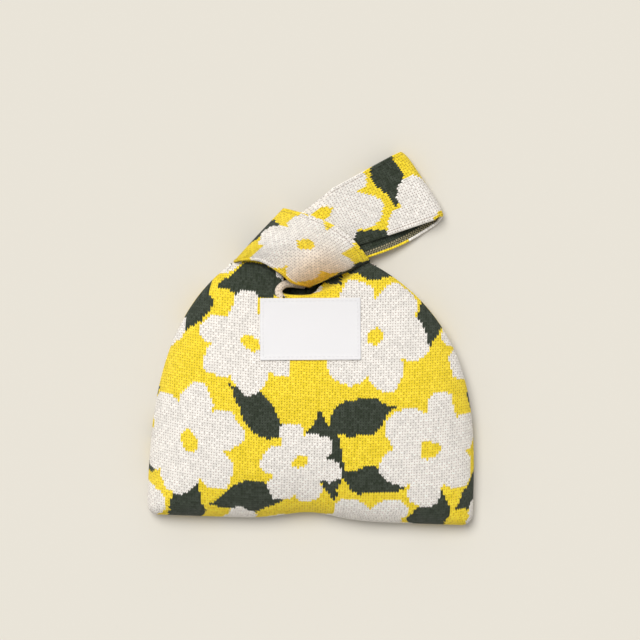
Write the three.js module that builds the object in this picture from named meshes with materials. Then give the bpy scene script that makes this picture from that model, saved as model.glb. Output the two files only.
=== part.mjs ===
// A mini knitted knot bag, lying on its back with its short handle drawn round its long one.
// The body is two knitted panels seamed at the sides and the bottom and lightly filled, so that it swells.
// The long handle rises from the left shoulder, passes through the short handle's loop, which is the knot, and
// ends in a wrist loop. The short handle rises from the right shoulder. A bare woven label is sewn on the front.
// Everything is in millimetres: X runs across the bag, Y from its bottom edge to its handle, Z up off the table.
import * as THREE from "three";

// Cloth
const cloth = 2.2; // a double-faced jacquard knit
const clearance = 0.3; // between pieces that touch
const seamWidth = 4.5; // a seam's turned-in allowance
const seamThickness = 1.6;
const ridgeWidth = 2; // the same where a seam joins a handle's ends, inside the fold

// Body
const bodyWidth = 199; // across the bottom edge
const bodyDepth = 34; // at the swell of the front, above the table
const cornerRadius = 7; // of the two bottom corners
const leftSidePower = 2.95; // the sides' curves: the higher, the straighter they start
const leftSideRound = 0.475; // and the higher, the more they slope at the shoulder
const rightSidePower = 3.4;
const rightSideRound = 0.66;
const bottomLift = 4.6; // how far the middle of the bottom edge is pushed in
const bottomLiftWidth = 21; // half the width of that push
const bottomRimHeight = 6; // of the bottom seam above the table
const topRimHeight = 12; // of the side seams at the shoulders
const frontPower = 2.6; // of the lens that the front makes from seam to seam
const frontRound = 0.55;
const bottomRound = 46; // how far in from the bottom seam the front reaches its full swell
const backRound = 16; // how far in from a seam the back lies flat
const backRise = 20; // length over which the back rises over the band, below the knot
const shoulderDepth = 22; // height of the front at the shoulders
const shoulderFall = 70; // length over which the front falls to that

// Knot: its centre, and the direction in which the long handle leaves it
const knotX = -10;
const knotY = 165;
const handleAngle = THREE.MathUtils.degToRad(30.5);

// Long handle
const handleWidth = 47;
const handleDrawnIn = 8; // of the upper layer's lower edge at the knot
const neckEdgeInset = 4.5; // of the handle's edges inside the short handle's wall
const neckSwell = 5; // of its upper layer inside the knot
const loopStandOff = 1.6; // from the knot to the line where the wrist loop bends
const loopMiddle = 0.5; // of the wrist loop, across from the knot's centre
const loopLength = 51.5; // from the knot's edge to the end of the wrist loop
const loopHeight = 12; // of the wrist loop's two layers, lying flat
const loopEndLean = THREE.MathUtils.degToRad(5); // the fold isn't square to the handle
const loopStagger = 1; // the lower layer lies this far below the upper one in plan, at the knot
const loopBow = 2; // its lower edge bows out by this between the knot and the fold
const loopCornerRound = 2; // the fold falls back by this at its two corners
const loopSag = 1; // of the upper layer between the knot and the fold
const lowerLayerRise = 20; // length over which the lower layer comes up into the knot

// Short handle, a band round the long one; along is measured from the knot's centre in the long handle's
// direction, and across square to it
const bandRootStart = -8.4; // along, at the right shoulder
const bandRootStartAcross = -22.4;
const bandRootEnd = 32;
const bandRootEndAcross = -26.8;
const bandFoldStart = -41.7; // along, at the fold round the long handle
const bandFoldStartAcross = 13;
const bandFoldEnd = 1.5;
const bandFoldEndAcross = 27.6;
const bandUpperBulge = 8; // of its upper edge over the long handle
const bandLowerBulge = 1.8; // of its lower edge over the mouth
const bandLowerPull = 6.5; // of its lower edge towards the wrist loop, near the fold
const bandLowerHeight = 21; // above the table, at its lower edge
const bandMiddleHeight = 36;
const bandUpperHeight = 18.5;
const bandRidge = 0.5; // where its middle height lies, as a share from its lower edge to its upper
const bandOverPower = 2.4; // of the lens that it makes over the long handle
const bandOverRound = 0.6;
const bandUnderPower = 6; // and of the one under it
const bandUnderRound = 0.4;
const tuckDepth = 6; // how far the right shoulder dips where it tucks under the band
const shoulderTuckDepth = 4; // and the left shoulder
const tuckReach = 12;

// Mouth: what shows of it below the knot
const mouthShare = 0.71; // of the left shoulder's line that is the long handle's foot
const mouthGap = 4.6; // between the front hem and the band's lowest point
const mouthLeft = 14; // from that point to the mouth's left end
const mouthRight = 6.5; // and to where the hem turns up along the band
const mouthFlare = 8.2; // by which the hem would clear the band's lowest point if it ran on straight
const mouthCornerWidth = 3; // of the rounded corner at the mouth's left end
const mouthCornerRise = 2;
const hemRise = 1; // of the hem at its right end, before it turns up

// Label
const labelWidth = 60.5;
const labelHeight = 37;
const labelThickness = 0.7;
const labelTilt = THREE.MathUtils.degToRad(2.3);
const labelBelowHem = 1.7;
const labelShift = -3.5; // of its middle, from the bag's middle
const labelStand = 0.8; // between the label and the knit
const stitchInset = 1.6; // of the stitching from the label's edge
const threadRadius = 0.25;

// How finely the curved sheets are divided: columns across and rows along
const frontCells = [30, 22];
const backCells = [26, 18];
const neckCells = [12, 14];
const bandCells = [36, 12];
const loopCells = [8, 22];
const labelCells = [14, 9];
const threadCells = [48, 6];
const seamCells = [2, 18];
const ridgeCells = [2, 8];

const { lerp, clamp, smoothstep } = THREE.MathUtils;
const ease = (t) => smoothstep(t, 0, 1);
// From 0 to 1 as a quarter circle, steep at first.
const quarterRound = (t) => Math.sqrt(1 - (1 - clamp(t, 0, 1)) ** 2);
// The height of a lens: 0 at its two edges, where across is -1 and 1, and 1 between them.
const lens = (across, power, round) =>
  Math.pow(Math.max(0, 1 - Math.pow(Math.abs(across), power)), round);
// The lesser of two shares, with the step between them smoothed away.
function lesser(a, b) {
  if (a <= 0 || b <= 0) return 0;
  return Math.pow(Math.pow(a, -3) + Math.pow(b, -3) - 1, -1 / 3);
}
// Spaces a share from 0 to 1 more closely at both ends, or only at the start.
const closerAtEnds = (t) => (1 - Math.cos(Math.PI * t)) / 2;
const closerAtStart = (t) => 1 - Math.cos((Math.PI / 2) * t);
const along = new THREE.Vector2(Math.cos(handleAngle), Math.sin(handleAngle));
const across = new THREE.Vector2(-along.y, along.x);
const knotPoint = (a, c) =>
  new THREE.Vector2(knotX, knotY).addScaledVector(along, a).addScaledVector(across, c);
const between = (p, q, t) => p.clone().lerp(q, t);

// A flat patch between four edge curves that meet at its corners.
function patch(bottom, top, left, right) {
  const corner = [bottom(0), bottom(1), top(0), top(1)];
  return (u, v) => {
    const ruled = between(bottom(u), top(u), v).add(between(left(v), right(v), u));
    const corners = between(between(corner[0], corner[1], u), between(corner[2], corner[3], u), v);
    return ruled.sub(corners);
  };
}

// A closed solid made of a curved sheet. point(u, v) gives its outer face, with u and v from 0 to 1, and the
// inner face lies one thickness behind it. On the level edges the wall between them is level, for a seam.
function sheet(point, columns, rows, thickness, { closed = false, level = [], straightDown = false } = {}) {
  const across = closed ? columns : columns + 1;
  const outer = [];
  for (let j = 0; j <= rows; j++)
    for (let i = 0; i < across; i++) outer.push(point(i / columns, j / rows));
  const at = (i, j) => {
    const column = closed ? (i + columns) % columns : clamp(i, 0, columns);
    return clamp(j, 0, rows) * across + column;
  };
  const levelHere = (i, j) =>
    (level.includes("left") && i === 0) ||
    (level.includes("right") && i === columns) ||
    (level.includes("bottom") && j === 0);
  const up = new THREE.Vector3(0, 0, 1);
  const alongU = (i, j) => outer[at(i + 1, j)].clone().sub(outer[at(i - 1, j)]);
  const alongV = (i, j) => outer[at(i, j + 1)].clone().sub(outer[at(i, j - 1)]);
  const normalAt = (i, j) => alongU(i, j).cross(alongV(i, j)).normalize();
  const facing = Math.sign(normalAt(columns >> 1, rows >> 1).z);
  const levelNormal = (i, j) => {
    const edge = i === 0 || i === columns ? alongV(i, j).multiplyScalar(i === 0 ? -1 : 1) : alongU(i, j);
    return edge.cross(up).multiplyScalar(facing).normalize();
  };
  const inner = outer.map((p, k) => {
    const [i, j] = [k % across, Math.floor(k / across)];
    const normal = straightDown ? up : levelHere(i, j) ? levelNormal(i, j) : normalAt(i, j);
    return p.clone().addScaledVector(normal, -thickness);
  });
  const behind = outer.length;
  const faces = [];
  const quad = (a, b, c, d) => faces.push(a, b, c, a, c, d);
  for (let j = 0; j < rows; j++)
    for (let i = 0; i < columns; i++) {
      const [a, b, c, d] = [at(i, j), at(i + 1, j), at(i + 1, j + 1), at(i, j + 1)];
      quad(a, b, c, d);
      quad(d + behind, c + behind, b + behind, a + behind);
    }
  for (let i = 0; i < columns; i++) {
    const [a, b] = [at(i, 0), at(i + 1, 0)];
    quad(a, a + behind, b + behind, b);
    const [c, d] = [at(i, rows), at(i + 1, rows)];
    quad(c, d, d + behind, c + behind);
  }
  for (let j = 0; j < rows && !closed; j++) {
    const [a, b] = [at(0, j), at(0, j + 1)];
    quad(a, b, b + behind, a + behind);
    const [c, d] = [at(columns, j), at(columns, j + 1)];
    quad(c, c + behind, d + behind, d);
  }
  return new THREE.BufferGeometry().setFromPoints([...outer, ...inner]).setIndex(faces);
}

// A closed thread: point(u, v) goes round the path with u and round the thread with v.
function threadLoop(point, columns, rows) {
  const points = [];
  for (let j = 0; j < rows; j++) for (let i = 0; i < columns; i++) points.push(point(i / columns, j / rows));
  const at = (i, j) => (j % rows) * columns + (i % columns);
  const faces = [];
  for (let j = 0; j < rows; j++)
    for (let i = 0; i < columns; i++) {
      faces.push(at(i, j), at(i + 1, j), at(i + 1, j + 1));
      faces.push(at(i, j), at(i + 1, j + 1), at(i, j + 1));
    }
  return new THREE.BufferGeometry().setFromPoints(points).setIndex(faces);
}

// The band's four corners in plan, and the two lines it runs between.
const rootLow = knotPoint(bandRootStart, bandRootStartAcross);
const rootTip = knotPoint(bandRootEnd, bandRootEndAcross);
const foldLow = knotPoint(bandFoldStart, bandFoldStartAcross);
const foldHigh = knotPoint(bandFoldEnd, bandFoldEndAcross);

// The body's outline. Each side is a rounded dome from its bottom corner to its corner of the knot.
const half = bodyWidth / 2;
function sideCurve(corner, power, round) {
  const domeHeight = corner.y / Math.pow(1 - Math.pow(Math.abs(corner.x) / half, 1 / round), 1 / power);
  return (y) => half * Math.pow(Math.max(0, 1 - Math.pow(clamp(y, 0, domeHeight) / domeHeight, power)), round);
}
const cornerCut = (y) => {
  const up = clamp(y, 0, cornerRadius);
  return cornerRadius - Math.sqrt(cornerRadius ** 2 - (cornerRadius - up) ** 2);
};
const leftDome = sideCurve(foldLow, leftSidePower, leftSideRound);
const rightDome = sideCurve(rootTip, rightSidePower, rightSideRound);
const leftEdge = (y) => -leftDome(y) + cornerCut(y);
const rightEdge = (y) => rightDome(y) - cornerCut(y);
const bottomEdge = (x) => bottomLift * Math.exp(-((x / bottomLiftWidth) ** 2));
const rimHeight = (y) => lerp(bottomRimHeight, topRimHeight, ease(y / foldLow.y));

// -1 at the left side seam and 1 at the right one.
const acrossBody = (x, y) => {
  const [left, right] = [leftEdge(y), rightEdge(y)];
  return clamp((2 * (x - left)) / (right - left) - 1, -1, 1);
};

// How near a place is to the line from the band's lowest point to a corner: 1 on it and 0 out of reach.
function nearBand(x, y, corner) {
  const [run, from] = [corner.clone().sub(rootLow), new THREE.Vector2(x, y).sub(rootLow)];
  const foot = run.multiplyScalar(clamp(from.dot(run) / run.lengthSq(), 0, 1));
  return 1 - ease(from.distanceTo(foot) / tuckReach);
}

function frontHeight(x, y) {
  const fall = ease((y - (rootLow.y - shoulderFall)) / shoulderFall);
  const crown = lerp(bodyDepth, shoulderDepth, fall);
  const tuck = Math.max(tuckDepth * nearBand(x, y, rootTip), shoulderTuckDepth * nearBand(x, y, foldLow));
  const acrossRise = lens(acrossBody(x, y), frontPower, frontRound);
  const rise = lesser(quarterRound((y - bottomEdge(x)) / bottomRound), acrossRise);
  return rimHeight(y) + (crown - tuck - rimHeight(y)) * rise;
}

// The back lies flat on the table, curls up to the seams, and rises over the band near the knot.
function backHeight(x, y) {
  const fromSide = Math.min(x - leftEdge(y), rightEdge(y) - x);
  const flat = lesser(quarterRound(fromSide / backRound), quarterRound((y - bottomEdge(x)) / backRound));
  const overBand = (cloth + 3 * clearance) * ease((y - rootLow.y + backRise) / backRise);
  return Math.max(rimHeight(y) * (1 - flat), overBand * flat);
}

// The band in plan: u runs from its root at the right shoulder to its fold, v from its lower edge to its upper.
const bandRoot = (v) => between(rootLow, rootTip, v);
const bandFold = (v) => between(foldLow, foldHigh, v);
const lowerEdgeAt = (u, pull) => between(rootLow, foldLow, u).addScaledVector(along, pull);
const bandLowerCurve = new THREE.SplineCurve([
  rootLow,
  lowerEdgeAt(0.2, -bandLowerBulge),
  lowerEdgeAt(0.45, bandLowerPull * 0.4),
  lowerEdgeAt(0.8, bandLowerPull),
  foldLow,
]);
const bandLowerEdge = (u) => bandLowerCurve.getPoint(u);
const bandUpperEdge = (u) =>
  between(rootTip, foldHigh, u).addScaledVector(along, bandUpperBulge * Math.sin(Math.PI * u));
const bandPlan = patch(bandLowerEdge, bandUpperEdge, bandRoot, bandFold);
const bandHeight = (v) =>
  v < bandRidge
    ? lerp(bandLowerHeight, bandMiddleHeight, quarterRound(v / bandRidge))
    : lerp(bandMiddleHeight, bandUpperHeight, ease((v - bandRidge) / (1 - bandRidge)));
const bandMiddle = (v) => (bandHeight(v) + clearance) / 2;

const overLens = (share) => lens(2 * share - 1, bandOverPower, bandOverRound);
const underLens = (share) => lens(2 * share - 1, bandUnderPower, bandUnderRound);
// Half of the turn goes over the long handle, from the root to the fold, and half goes back under it.
function bandPoint(turn, v) {
  const angle = 2 * Math.PI * turn;
  const share = (1 - Math.cos(angle)) / 2;
  const plan = bandPlan(share, v);
  const swell = Math.sin(angle) >= 0 ? overLens(share) : -underLens(share);
  return new THREE.Vector3(plan.x, plan.y, bandMiddle(v) + (bandMiddle(v) - clearance) * swell);
}

const shortHandle = () => sheet((u, v) => bandPoint(1 - u, v), ...bandCells, cloth, { closed: true });

// Where the panels' shoulders stop, just short of the band.
const bandGap = 6 * clearance; // the panels' edges stay this far from the band's
const stopShort = (p, outward) => p.clone().addScaledVector(outward, bandGap);
const downBag = across.clone().add(along).normalize().negate();
const shoulderLine = (t) => stopShort(bandLowerEdge(1 - t), downBag);
const rootOutward = across.clone().negate();
const tuckLine = (t) => stopShort(bandRoot(t), rootOutward);
const hemLine = (t) => bandRoot(t).addScaledVector(rootOutward, lerp(mouthFlare, bandGap, t));
const hemHeight = rootLow.y - mouthGap;
// The front's upper edge: the foot of the long handle, the hem round the mouth, and the tuck under the band.
function frontTopEdge() {
  const points = [
    ...[0, 0.24, 0.48, 0.72, 0.96].map((share) => shoulderLine(share * mouthShare)),
    new THREE.Vector2(rootLow.x - mouthLeft, hemHeight + mouthCornerRise),
    new THREE.Vector2(rootLow.x - mouthLeft + mouthCornerWidth, hemHeight),
    new THREE.Vector2(rootLow.x, hemHeight),
    new THREE.Vector2(rootLow.x + mouthRight, hemHeight + hemRise),
    ...[0.3, 0.5, 0.75, 1].map(hemLine),
  ];
  const curve = new THREE.SplineCurve(points);
  return (t) => curve.getPointAt(clamp(t, 0, 1));
}
function backTopEdge() {
  const curve = new THREE.SplineCurve([
    ...[0, 0.25, 0.5, 0.75, 0.95].map(shoulderLine),
    ...[0.05, 0.35, 0.7, 1].map(tuckLine),
  ]);
  return (t) => curve.getPointAt(clamp(t, 0, 1));
}

// A panel in plan, with u from the left seam to the right one and v from the bottom seam to its upper edge.
function panelPlan(topEdge) {
  const [topLeft, topRight] = [topEdge(0), topEdge(1)];
  const bottom = (u) => {
    const x = lerp(leftEdge(0), rightEdge(0), u);
    return new THREE.Vector2(x, bottomEdge(x));
  };
  const side = (edge, end) => (v) => {
    const y = lerp(bottom(0).y, end.y, v);
    return new THREE.Vector2(lerp(edge(y), end.x, ease((v - 0.9) / 0.1)), y);
  };
  return patch(bottom, topEdge, side(leftEdge, topLeft), side(rightEdge, topRight));
}

function frontPanel() {
  const plan = panelPlan(frontTopEdge());
  const point = (u, v) => {
    const p = plan(closerAtEnds(u), closerAtStart(v));
    return new THREE.Vector3(p.x, p.y, frontHeight(p.x, p.y) + clearance / 2);
  };
  return sheet(point, ...frontCells, cloth, { level: ["left", "right", "bottom"] });
}

function backPanel() {
  const plan = panelPlan(backTopEdge());
  const point = (u, v) => {
    const p = plan(closerAtEnds(1 - u), closerAtStart(v));
    return new THREE.Vector3(p.x, p.y, backHeight(p.x, p.y) - clearance / 2);
  };
  return sheet(point, ...backCells, cloth, { level: ["left", "right", "bottom"] });
}

// The seams' turned-in allowances lie inside the body, between the two panels.
const seamInset = cloth + 4 * clearance;
const seamTop = (x, y) => (frontHeight(x, y) + backHeight(x, y) + seamThickness) / 2;
function sideSeam(edge, inward) {
  const [start, end] = [cornerRadius + seamInset, rootLow.y - 4 * cornerRadius];
  const point = (u, v) => {
    const y = lerp(start, end, v);
    const x = edge(y) + inward * (seamInset + seamWidth * (inward > 0 ? u : 1 - u));
    return new THREE.Vector3(x, y, seamTop(x, y));
  };
  return sheet(point, ...seamCells, seamThickness, { straightDown: true });
}
function bottomSeam() {
  const reach = half - cornerRadius - seamInset - seamWidth;
  const point = (u, v) => {
    const x = lerp(-reach, reach, u);
    const y = bottomEdge(x) + seamInset + seamWidth * v;
    return new THREE.Vector3(x, y, seamTop(x, y));
  };
  return sheet(point, ...seamCells.toReversed(), seamThickness, { straightDown: true });
}

// The hinge line of the wrist loop: where the long handle comes free of the band.
const freeAlong = bandRootEnd + loopStandOff;
const halfHandle = handleWidth / 2;
const neckTop = loopHeight;
const neckBottom = loopHeight - 2 * cloth - clearance;

// The height of the band's underside, inside it, over a place given along and across.
function bandFloor(a, c) {
  const rootShare = (a - bandRootStart) / (bandRootEnd - bandRootStart);
  const root = lerp(bandRootStartAcross, bandRootEndAcross, rootShare);
  const foldShare = clamp((a - bandFoldStart) / (bandFoldEnd - bandFoldStart), 0, 1);
  const share = clamp((c - root) / (lerp(bandFoldStartAcross, bandFoldEndAcross, foldShare) - root), 0, 1);
  const [low, high] = [lerp(bandRootStart, bandFoldStart, share), lerp(bandRootEnd, bandFoldEnd, share)];
  const middle = bandMiddle(clamp((a - low) / (high - low), 0, 1));
  return middle - (middle - clearance) * underLens(share) + cloth;
}

// The long handle inside the knot, in plan: u from its left edge to its right, v from the shoulder to the loop.
function neckPlan(inset, drawnIn) {
  const footStart = 1 - inset / rootLow.distanceTo(foldLow);
  const foot = (u) => stopShort(bandLowerEdge(lerp(footStart, 1 - mouthShare, u)), downBag.clone().negate());
  const insideFold = (v) => bandFold(v).addScaledVector(across, -cloth - inset);
  const left = new THREE.SplineCurve([
    foot(0),
    insideFold(0.35),
    insideFold(0.75),
    knotPoint(freeAlong, halfHandle + loopMiddle),
  ]);
  const right = new THREE.SplineCurve([
    foot(1),
    knotPoint(lerp(bandRootStart, bandRootEnd, 0.35), -halfHandle + drawnIn + neckEdgeInset),
    knotPoint(freeAlong, -halfHandle + loopMiddle + drawnIn),
  ]);
  const end = (u) => between(left.getPoint(1), right.getPoint(1), u);
  return patch(foot, end, (v) => left.getPoint(v), (v) => right.getPoint(v));
}

const neckSheet = (point) =>
  sheet((u, v) => point(closerAtEnds(u), v), ...neckCells, cloth, { straightDown: true });

function neckFront() {
  const plan = neckPlan(neckEdgeInset, handleDrawnIn);
  const point = (u, v) => {
    const [p, foot] = [plan(u, v), plan(u, 0)];
    const swell = neckSwell * Math.sin(Math.PI * v) * lens(2 * u - 1, 2, 0.7);
    return new THREE.Vector3(p.x, p.y, lerp(frontHeight(foot.x, foot.y), neckTop, ease(v)) + swell);
  };
  return neckSheet(point);
}

function neckBack() {
  const plan = neckPlan(2.5 * neckEdgeInset, 0);
  const point = (u, v) => {
    const [p, foot] = [plan(u, v), plan(u, 0)];
    const from = p.clone().sub(new THREE.Vector2(knotX, knotY));
    const floor = bandFloor(from.dot(along), from.dot(across)) + 3 * clearance;
    const flat = lerp(backHeight(foot.x, foot.y), neckBottom, ease(v));
    return new THREE.Vector3(p.x, p.y, Math.max(flat, floor) + cloth);
  };
  return neckSheet(point);
}

// The wrist loop: an upper and a lower layer that meet at the fold, where a seam joins them.
const foldRadius = (loopHeight - 2 * clearance) / 2;
const foldMiddle = 2 * clearance + foldRadius;
const foldOut = along.clone().rotateAround(new THREE.Vector2(), loopEndLean);
const loopReach = freeAlong + loopLength - foldRadius;
function loopEnd(c) {
  const corner = loopCornerRound * Math.pow(Math.abs(c) / halfHandle, 8);
  return knotPoint(loopReach - c * Math.tan(loopEndLean) - corner, c + loopMiddle);
}

// Goes along a layer: the straight stretch first, then a quarter turn down or up into the fold.
const straightShare = 0.72;
function layerPoint(u, v, stagger, drawnIn, bow, height, turnDirection) {
  const c = lerp(halfHandle, -halfHandle, u);
  const straight = Math.min(v / straightShare, 1);
  const turn = (Math.PI / 2) * clamp((v - straightShare) / (1 - straightShare), 0, 1);
  const start = knotPoint(freeAlong + clearance, c + loopMiddle - stagger + drawnIn * u);
  const plan = between(start, loopEnd(c), straight)
    .addScaledVector(across, -bow * u * Math.sin(Math.PI * straight))
    .addScaledVector(foldOut, foldRadius * Math.sin(turn));
  const apart = (clearance / 2) * Math.sin(turn);
  const z = turn > 0 ? foldMiddle + turnDirection * (foldRadius * Math.cos(turn) + apart) : height(straight);
  return new THREE.Vector3(plan.x, plan.y, z);
}
const upperHeight = (t) => loopHeight - loopSag * Math.sin(Math.PI * t) ** 2;
const lowerHeight = (t) =>
  lerp(neckBottom, 2 * clearance, ease((t * (loopLength - foldRadius)) / lowerLayerRise));
const loopSheet = (point) => sheet(point, ...loopCells, cloth, { level: ["bottom"] });
const loopUpper = () => loopSheet((u, v) => layerPoint(1 - u, 1 - v, 0, handleDrawnIn, 0, upperHeight, 1));
const loopLower = () => loopSheet((u, v) => layerPoint(u, 1 - v, loopStagger, 0, loopBow, lowerHeight, -1));

// A seam's ridge inside a fold: it stands in from the cloth and runs along the fold.
function ridge(lineAt, from, to, inward, middle) {
  const point = (u, v) => {
    const t = lerp(from, to, v);
    const p = lineAt(t).addScaledVector(inward, seamInset + ridgeWidth * u);
    return new THREE.Vector3(p.x, p.y, middle(t) + seamThickness / 2);
  };
  return sheet(point, ...ridgeCells, seamThickness, { straightDown: true });
}
function loopSeam() {
  const tip = (t) => loopEnd(lerp(-halfHandle, halfHandle, t)).addScaledVector(foldOut, foldRadius);
  return ridge(tip, 0.88, 0.12, foldOut.clone().negate(), () => foldMiddle);
}
const bandSeam = () => ridge(bandFold, 0.34, 0.86, across.clone().negate(), bandMiddle);

// The label lies on the front just below the hem.
const labelMiddle = new THREE.Vector2(labelShift, hemHeight - labelBelowHem - labelHeight / 2);
const onLabel = (x, y) =>
  new THREE.Vector2(x, y).rotateAround(new THREE.Vector2(), labelTilt).add(labelMiddle);
const labelTop = (p) => frontHeight(p.x, p.y) + labelStand + labelThickness;
function label() {
  const point = (u, v) => {
    const p = onLabel((u - 0.5) * labelWidth, (v - 0.5) * labelHeight);
    return new THREE.Vector3(p.x, p.y, labelTop(p));
  };
  return sheet(point, ...labelCells, labelThickness, { straightDown: true });
}
// The thread goes round the label, with its corners mitred.
function labelStitching() {
  const corners = [[-1, -1], [1, -1], [1, 1], [-1, 1]];
  const point = (u, v) => {
    const [side, share] = [Math.floor(u * 4) % 4, (u * 4) % 1];
    const [from, to] = [corners[side], corners[(side + 1) % 4]];
    const angle = 2 * Math.PI * v;
    const inset = stitchInset - threadRadius * Math.cos(angle);
    const p = onLabel(
      lerp(from[0], to[0], share) * (labelWidth / 2 - inset),
      lerp(from[1], to[1], share) * (labelHeight / 2 - inset),
    );
    return new THREE.Vector3(p.x, p.y, labelTop(p) + clearance + threadRadius * (1 + Math.sin(angle)));
  };
  return threadLoop(point, ...threadCells);
}

// Materials, from the photograph's colours.
const finish = (color, roughness) => new THREE.MeshStandardMaterial({ color, roughness, metalness: 0 });
const floralKnit = finish("#efc92f", 0.9);
const seamYarn = finish("#3c4a3c", 0.95);
const satin = finish("#f6f4f2", 0.45);
const thread = finish("#ffffff", 0.7);

const bag = new THREE.Group();
function add(name, geometry, material) {
  const mesh = new THREE.Mesh(geometry, material);
  mesh.name = name;
  bag.add(mesh);
}
add("front_panel", frontPanel(), floralKnit);
add("back_panel", backPanel(), floralKnit);
add("left_side_seam", sideSeam(leftEdge, 1), seamYarn);
add("right_side_seam", sideSeam(rightEdge, -1), seamYarn);
add("bottom_seam", bottomSeam(), seamYarn);
add("long_handle_neck_front", neckFront(), floralKnit);
add("long_handle_neck_back", neckBack(), floralKnit);
add("short_handle", shortHandle(), floralKnit);
add("short_handle_seam", bandSeam(), seamYarn);
add("wrist_loop_upper", loopUpper(), floralKnit);
add("wrist_loop_lower", loopLower(), floralKnit);
add("wrist_loop_seam", loopSeam(), seamYarn);
add("label", label(), satin);
add("label_stitching", labelStitching(), thread);

// The origin is under the middle of the bag, on the table.
const bounds = new THREE.Box3().setFromObject(bag);
const middle = bounds.getCenter(new THREE.Vector3());
bag.position.set(-middle.x, -middle.y, -bounds.min.z);

const part = new THREE.Group();
part.add(bag);
export default part;
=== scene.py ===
"""A small knitted knot bag, lying on its back with its short handle drawn round its long one.

Each piece of cloth is a sheet of knit with its own thickness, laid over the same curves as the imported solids.
The body's two panels meet at sewn seams, the hem rolls over at the mouth, and the long handle runs in one piece
from the shoulder through the short handle's ring to the wrist loop and back. Lengths are in metres.
"""

import functools
import math

import bpy
import numpy as np
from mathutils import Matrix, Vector


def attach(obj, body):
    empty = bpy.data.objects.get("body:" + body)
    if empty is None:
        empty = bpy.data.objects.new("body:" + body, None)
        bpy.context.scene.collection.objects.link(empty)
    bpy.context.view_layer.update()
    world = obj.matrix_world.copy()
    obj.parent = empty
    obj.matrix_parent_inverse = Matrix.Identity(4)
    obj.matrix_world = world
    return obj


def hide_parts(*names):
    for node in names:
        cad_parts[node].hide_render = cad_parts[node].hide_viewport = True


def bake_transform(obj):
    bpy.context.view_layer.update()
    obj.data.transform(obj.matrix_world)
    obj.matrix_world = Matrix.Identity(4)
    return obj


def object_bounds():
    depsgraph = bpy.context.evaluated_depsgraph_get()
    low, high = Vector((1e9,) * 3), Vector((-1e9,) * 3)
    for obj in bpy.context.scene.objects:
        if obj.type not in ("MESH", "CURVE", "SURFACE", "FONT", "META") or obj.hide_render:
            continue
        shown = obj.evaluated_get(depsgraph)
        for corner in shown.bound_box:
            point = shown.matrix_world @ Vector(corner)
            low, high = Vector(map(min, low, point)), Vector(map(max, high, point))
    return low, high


bl_info = {
    "name": "Knitted Knot Bag",
    "version": (1, 0, 0),
    "blender": (4, 5, 0),
    "location": "3D View > Sidebar > Knot Bag",
    "description": "Builds a small knitted knot bag with tied handles and a sewn label, on a pale table",
    "category": "Add Mesh",
}

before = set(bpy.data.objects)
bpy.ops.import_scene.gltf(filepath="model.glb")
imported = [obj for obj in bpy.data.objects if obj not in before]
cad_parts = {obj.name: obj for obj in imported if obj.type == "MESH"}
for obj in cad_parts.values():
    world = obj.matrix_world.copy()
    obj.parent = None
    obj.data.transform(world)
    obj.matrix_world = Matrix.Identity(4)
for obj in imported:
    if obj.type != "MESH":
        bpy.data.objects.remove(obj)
CAD_LOW, CAD_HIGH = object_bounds()

# Cloth
CLEARANCE = 0.0003  # between pieces that touch
SEAM_ROUND = 0.0012  # radius by which the panels turn in at a seam
SEAM_WIDTH = 0.0045  # of a seam's turned-in allowance
SEAM_THICKNESS = 0.0016
LIP_SHARE = 0.32  # how far a cut edge bulges, as a share of the cloth's thickness
LEVEL_LEAST = 0.2  # share of a normal that has to be level for the cloth to be turned in along it

# Body
CORNER_RADIUS = 0.007  # of the two bottom corners
LEFT_SIDE = (2.95, 0.475)  # power and roundness of the sides' curves
RIGHT_SIDE = (3.4, 0.66)
BOTTOM_LIFT = 0.0046  # how far the middle of the bottom edge is pushed in
BOTTOM_LIFT_WIDTH = 0.021
BOTTOM_RIM_HEIGHT = 0.006  # of the bottom seam above the table
TOP_RIM_HEIGHT = 0.012  # of the side seams at the shoulders
FRONT_POWER = 2.6  # of the lens that the front makes from seam to seam
FRONT_ROUND = 0.55
BOTTOM_ROUND = 0.046  # how far in from the bottom seam the front reaches its full swell
BACK_ROUND = 0.016  # how far in from a seam the back lies flat
BACK_RISE = 0.020  # length over which the back rises over the band, below the knot
SHOULDER_DEPTH = 0.022  # height of the front at the shoulders
SHOULDER_FALL = 0.070  # length over which the front falls to that
FULL_HEIGHT = 0.015  # above its seams, from which the front has its full slack and folds
LABEL_FLAT = ((0.024, 0.016), (0.014, 0.014))  # flat place under the label: reach and run-out, across and up
SLACK = 0.0006  # of the front, where it is full
SLACK_WAVES = (0.017, 1.3, 0.023, 0.021, 0.8)  # length across, sway, the sway's length, length up and start
KNOT_FOLDS = 0.0011  # of the soft folds that run from the knot
KNOT_FOLD_TURNS = (9, 0.5)  # how many there are all round, and their start
KNOT_FOLD_REACH = ((0.006, 0.02), (0.02, 0.055))  # from the knot: start and length of the rise and the fall

# Knot: its centre and the direction in which the long handle leaves it. Along is measured from the centre in
# that direction, and across square to it.
KNOT = (-0.010, 0.165)
HANDLE_ANGLE = math.radians(30.5)

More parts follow.
